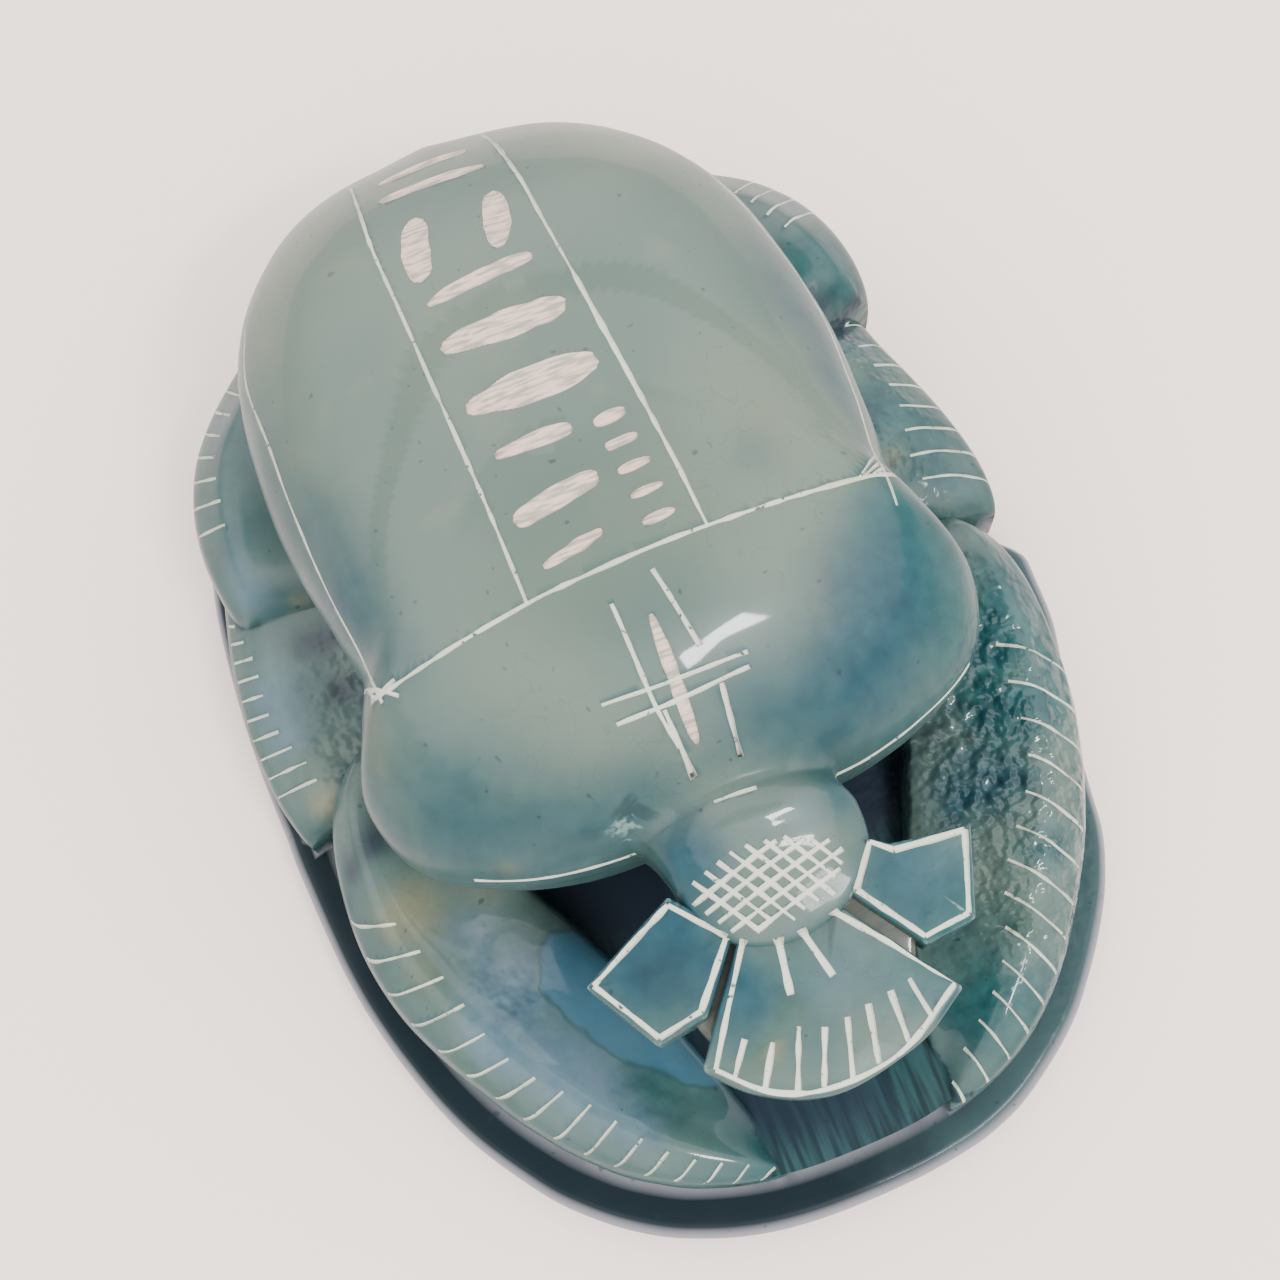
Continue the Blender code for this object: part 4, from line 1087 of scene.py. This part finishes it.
# %% Shader sums
class Wire:
    """The output of a node. An operator adds a Math node, also where a plain number stands
    on the left, as in 1 - mask."""

    nodes = links = None

    def __init__(self, socket):
        self.socket = socket

    @classmethod
    def node(cls, kind, settings, inputs, output=0):
        """A new node. Its settings come first, then a value or a wire for each socket."""
        made = cls.nodes.new(kind)
        for word, setting in settings.items():
            setattr(made, word, setting)
        for socket, value in inputs.items():
            if isinstance(value, Wire):
                cls.links.new(value.socket, made.inputs[socket])
            else:
                made.inputs[socket].default_value = value
        return cls(made.outputs[output])

    @classmethod
    def math(cls, operation, first, second):
        return cls.node("ShaderNodeMath", {"operation": operation}, {0: first, 1: second})

    def __add__(self, other):
        return self.math("ADD", self, other)

    def __sub__(self, other):
        return self.math("SUBTRACT", self, other)

    def __rsub__(self, other):
        return self.math("SUBTRACT", other, self)

    def __mul__(self, other):
        return self.math("MULTIPLY", self, other)

    def __abs__(self):
        return self.math("ABSOLUTE", self, 0.0)

    __radd__, __rmul__ = __add__, __mul__


ROOM_GAIN, WHITEST = 2.7, 0.95
FILM_MIX = [[0.8425, 0.0784, 0.0792], [0.0423, 0.8785, 0.0792], [0.0424, 0.0784, 0.8791]]
FILM_SPREAD = [[1.1969, -0.0980, -0.0990], [-0.0529, 1.1519, -0.0990], [-0.0530, -0.0980, 1.1511]]
FILM_CURVE = (15.5, -40.14, 31.96, -6.868, 0.4298, 0.1191, -0.00232)
FILM_STOPS = (-12.474, 4.026)


def shade(red, green, blue):
    """A colour as it looks in the lit picture, 0 to 255, as the share of light it returns.
    The renderer mixes the channels a little, takes the logarithm, bends it along a curve and
    spreads the channels again, so here those steps are undone one by one."""
    tone = np.linalg.solve(FILM_SPREAD, np.array([red, green, blue]) / 255)
    steps = np.linspace(0, 1, 2001)
    curve = np.maximum.accumulate(np.polyval(FILM_CURVE, steps))
    stops = FILM_STOPS[0] + (FILM_STOPS[1] - FILM_STOPS[0]) * np.interp(tone, curve, steps)
    light = np.linalg.solve(FILM_MIX, 2**stops) / ROOM_GAIN
    return (*np.clip(light, 0.001, WHITEST).tolist(), 1.0)


def blend(share, below, above):
    """One colour under another, which covers it by a share."""
    return Wire.node("ShaderNodeMix", {"data_type": "RGBA"}, {0: share, 6: below, 7: above}, 2)


def eased(value, low, high):
    """0 below low, 1 above high and eased between."""
    return Wire.node("ShaderNodeMapRange", {"interpolation_type": "SMOOTHSTEP"},
                     {"Value": value, "From Min": low, "From Max": high}, "Result")


def amount(name):
    """A number that the mesh carries."""
    return Wire.node("ShaderNodeAttribute", {"attribute_name": name}, {}, "Fac")


def clouds(size, detail, stretch=(1, 1, 1), place=(0, 0, 0)):
    """Noise from 0 to 1 with lumps of about this size, stretched along the axes."""
    moved = Wire.node("ShaderNodeMapping", {"vector_type": "POINT"},
                      {"Vector": spot, "Location": place, "Scale": [1 / way for way in stretch]})
    return Wire.node("ShaderNodeTexNoise", {}, {"Vector": moved, "Scale": 1 / size, "Detail": detail})


# %% Colours of the glazed stone
CELADON, SAGE, PALE_SAGE = shade(146, 159, 148), shade(138, 154, 146), shade(154, 163, 148)
DYES = [  # dye, its lighter and darker colour
    # The sea dye stands partly for painted shade on the sides.
    ("sea_and_side_shade", shade(116, 144, 142), shade(88, 122, 124)),
    ("green", shade(128, 150, 130), shade(90, 118, 100)),
    ("ochre", shade(176, 174, 150), shade(152, 146, 112)),
    ("lavender", shade(146, 166, 176), shade(120, 146, 160)),
    ("teal", shade(84, 138, 138), shade(48, 104, 110)),
    ("blue", shade(82, 130, 142), shade(50, 94, 108)),
]
PETROL, PETROL_DEEP = shade(74, 116, 120), shade(44, 74, 82)
TIDE_BLUE, SILT = shade(104, 148, 168), shade(150, 148, 132)
# The ledge's dye in painted light and in painted shade.
LEDGE_DYE_LIT, LEDGE_DYE_SHADED = shade(92, 120, 122), shade(38, 60, 70)
# NAVY_AND_SHADE is the dark stain together with the painted shade of the hollow and the overhangs.
RIM_GREY, NAVY_AND_SHADE, RUBBED = shade(172, 172, 177), shade(64, 78, 98), shade(190, 202, 198)
BARE_LINE, BARE_STROKE, STROKE_GREY = shade(214, 214, 209), shade(218, 208, 202), shade(194, 190, 182)

glaze = bpy.data.materials.new("glazed_stone")
glaze.use_nodes = True
Wire.nodes, Wire.links = glaze.node_tree.nodes, glaze.node_tree.links
spot = Wire.node("ShaderNodeTexCoord", {}, {}, "Object")

broad, wash, pool = clouds(11 * MM, 0.0), clouds(3.4 * MM, 2.0), clouds(2.0 * MM, 2.0)
rough = amount("rough")
uneven, grain = 0.35 + rough * 2.2, 0.4 + rough * 1.3
runs, filed = clouds(0.9 * MM, 2.0, (1, 1, 9), (0.3, 0.1, 0)), clouds(0.40 * MM, 1.0, (1, 12, 12))
fine, scratches = clouds(0.35 * MM, 1.0), clouds(0.22 * MM, 1.0, (7, 1, 1))
# The ground colour, and over it the dyes, each light and dark by its own clouds and runs; the
# sea dye also carries painted shade on sides that slope away.
colour = blend(eased(broad, 0.35, 0.65), SAGE, CELADON)
colour = blend(eased(wash, 0.52, 0.80) * 0.45, colour, PALE_SAGE)
for number, (dye, light, dark) in enumerate(DYES):
    own = (wash, pool)[number % 2]
    share = eased(amount(dye) * (1 + (own - 0.5) * uneven), 0.04, 0.92)
    tone = blend(eased(0.5 + (own * 0.5 + runs * 0.5 - 0.5) * grain, 0.30, 0.70), light, dark)
    colour = blend(share, colour, tone)
# The tide has a shore where its dye was driven to, a little darker than the rest.
tide = amount("tide") + (wash - 0.5) * 0.5
colour = blend(eased(tide, 0.44, 0.56) * 0.65, colour, TIDE_BLUE)
shore = eased(tide, 0.42, 0.48) * (1 - eased(tide, 0.48, 0.54))
colour = blend(shore * 0.5, colour, PETROL)
# The dark filed floor, the ledge's dark dye with painted shade towards the left and painted
# light towards the right, silt in the grooves and the grey rim.
petrol = blend(eased(filed, 0.35, 0.62), PETROL_DEEP, PETROL)
colour = blend(amount("floor") * 0.95, colour, petrol)
ledge_dye_and_shade = blend(eased(amount("lit") + (wash - 0.5) * 0.6, 0.0, 1.0), LEDGE_DYE_SHADED, LEDGE_DYE_LIT)
colour = blend(amount("ledge"), colour, ledge_dye_and_shade)
colour = blend(amount("groove") * 0.7, colour, SILT)
colour = blend(amount("rim"), colour, RIM_GREY)
# The navy stain with painted shade, creases darkened by dye and painted shade, rubbed edges,
# hairline veins and specks.
colour = blend(eased(amount("navy_and_shade") + (wash - 0.5) * 0.4, 0.10, 0.90), colour, NAVY_AND_SHADE)
# Creases: gathered dye and painted shade.
colour = blend(amount("crease") * 0.45, colour, PETROL_DEEP)
colour = blend(amount("worn") * eased(fine, 0.3, 0.6) * 0.5, colour, RUBBED)
vein = (1 - eased(abs(pool - 0.5), 0.0, 0.012)) * eased(broad, 0.50, 0.65)
colour = blend(vein * 0.15, colour, PETROL_DEEP)
speck = eased(clouds(0.55 * MM, 0.0, place=(0.7, 0, 0)), 0.80, 0.86)
colour = blend(speck * 0.45, colour, PETROL_DEEP)
# White stone in the cuts, scratched along in the broad strokes.
colour = blend(amount("line") * eased(fine, 0.20, 0.36), colour, BARE_LINE)
scraped = blend(eased(scratches, 0.35, 0.62), STROKE_GREY, BARE_STROKE)
colour = blend(amount("stroke"), colour, scraped)
print("nodes in the stain:", len(Wire.nodes))

# %% Shine and fine relief
bare, dull = amount("line") + amount("stroke"), amount("floor") + amount("ledge")
pitted = clouds(0.9 * MM, 1.0, place=(0, 0, 0.4))
relief = (rough * 0.60 + 0.006) * pitted * MM
bump = Wire.node("ShaderNodeBump", {}, {"Strength": 1.0, "Distance": 1.0, "Height": relief}, "Normal")
shader = glaze.node_tree.nodes["Principled BSDF"]
roughness = 0.24 + wash * 0.10 + bare * 0.4 + amount("floor") * 0.15
coat = (0.03 + amount("polish") * 0.47) * (1 - bare) * (1 - dull * 0.9)
varied = {"Base Color": colour, "Normal": bump, "Roughness": roughness, "Coat Weight": coat}
for socket, wire in varied.items():
    Wire.links.new(wire.socket, shader.inputs[socket])
SHINE = {"Coat Roughness": 0.05, "Coat IOR": 1.5, "IOR": 1.4, "Specular IOR Level": 0.15}
for socket, value in SHINE.items():
    shader.inputs[socket].default_value = value
# Where the glaze pooled over rough stone it looks wet, and its pits throw back the window.
WET = {"Roughness": 0.13, "IOR": 1.45, "Specular IOR Level": 0.5}
wet = Wire.node("ShaderNodeBsdfPrincipled", {}, {"Base Color": colour, "Normal": bump, **WET})
share = eased(rough, 0.15, 0.75) * (1 - bare) * (1 - dull)
mixed = Wire.node("ShaderNodeMixShader", {}, {0: share, 1: Wire(shader.outputs[0]), 2: wet})
Wire.links.new(mixed.socket, glaze.node_tree.nodes["Material Output"].inputs["Surface"])
print("nodes in the glaze:", len(Wire.nodes))

# %% Riding on the frame
mesh.polygons.foreach_set("use_smooth", np.ones(len(mesh.polygons), bool))
mesh.set_sharp_from_angle(angle=radians(38))
mesh.materials.clear()
mesh.materials.append(glaze)
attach(stone, "root")
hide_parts("scarab")

# %% [markdown]
# ## Floor and light
# The picture was taken indoors on pale card: soft light from all sides but from straight
# above, where the camera keeps it off, and one small bright window in front on the right,
# which is the streak on the shoulders. The lamp stands where the line of sight goes after it
# bounces off the stone at that streak.

# %% Floor and light
GROUND_SIZE, CARD, CARD_ROUGHNESS = 3.0, (0.93, 0.79, 0.72, 1), 0.85
WALLS, CEILING, OVERHEAD = (1.1, 1.1, 1.1, 1), (3.1, 3.1, 3.1, 1), (0.8, 0.8, 0.8, 1)
WINDOW_WAY, WINDOW_AWAY = Vector((0.27, -0.55, 0.79)).normalized(), 0.40
WINDOW_SPOT, WINDOW_SIDES, WINDOW_WATTS = Vector((3 * MM, -8.7 * MM, 25.5 * MM)), (0.13, 0.040), 1.30

bpy.ops.mesh.primitive_plane_add(size=GROUND_SIZE)
ground = bpy.context.object
ground.name = "ground"
card = bpy.data.materials.new("card")
card.use_nodes = True
card_shader = card.node_tree.nodes["Principled BSDF"]
card_shader.inputs["Base Color"].default_value = CARD
card_shader.inputs["Roughness"].default_value = CARD_ROUGHNESS
ground.data.materials.append(card)
world = bpy.data.worlds.new("room")
bpy.context.scene.world = world
world.use_nodes = True
Wire.nodes, Wire.links = world.node_tree.nodes, world.node_tree.links
way = Wire.node("ShaderNodeTexCoord", {}, {}, "Generated")
upward = Wire.node("ShaderNodeSeparateXYZ", {}, {"Vector": way}, "Z")
room = blend(eased(upward, 0.0, 0.55), WALLS, CEILING)
room = blend(eased(upward, 0.86, 0.97), room, OVERHEAD)
Wire.links.new(room.socket, world.node_tree.nodes["Background"].inputs["Color"])
lamp = bpy.data.lights.new("window", "AREA")
lamp.shape, lamp.energy = "RECTANGLE", WINDOW_WATTS
lamp.size, lamp.size_y = WINDOW_SIDES
light = bpy.data.objects.new("window", lamp)
light.location = WINDOW_SPOT + WINDOW_WAY * WINDOW_AWAY
light.rotation_euler = WINDOW_WAY.to_track_quat("Z", "Y").to_euler()
bpy.context.scene.collection.objects.link(light)
print("the window stands at, mm:", [round(v / MM) for v in light.location])
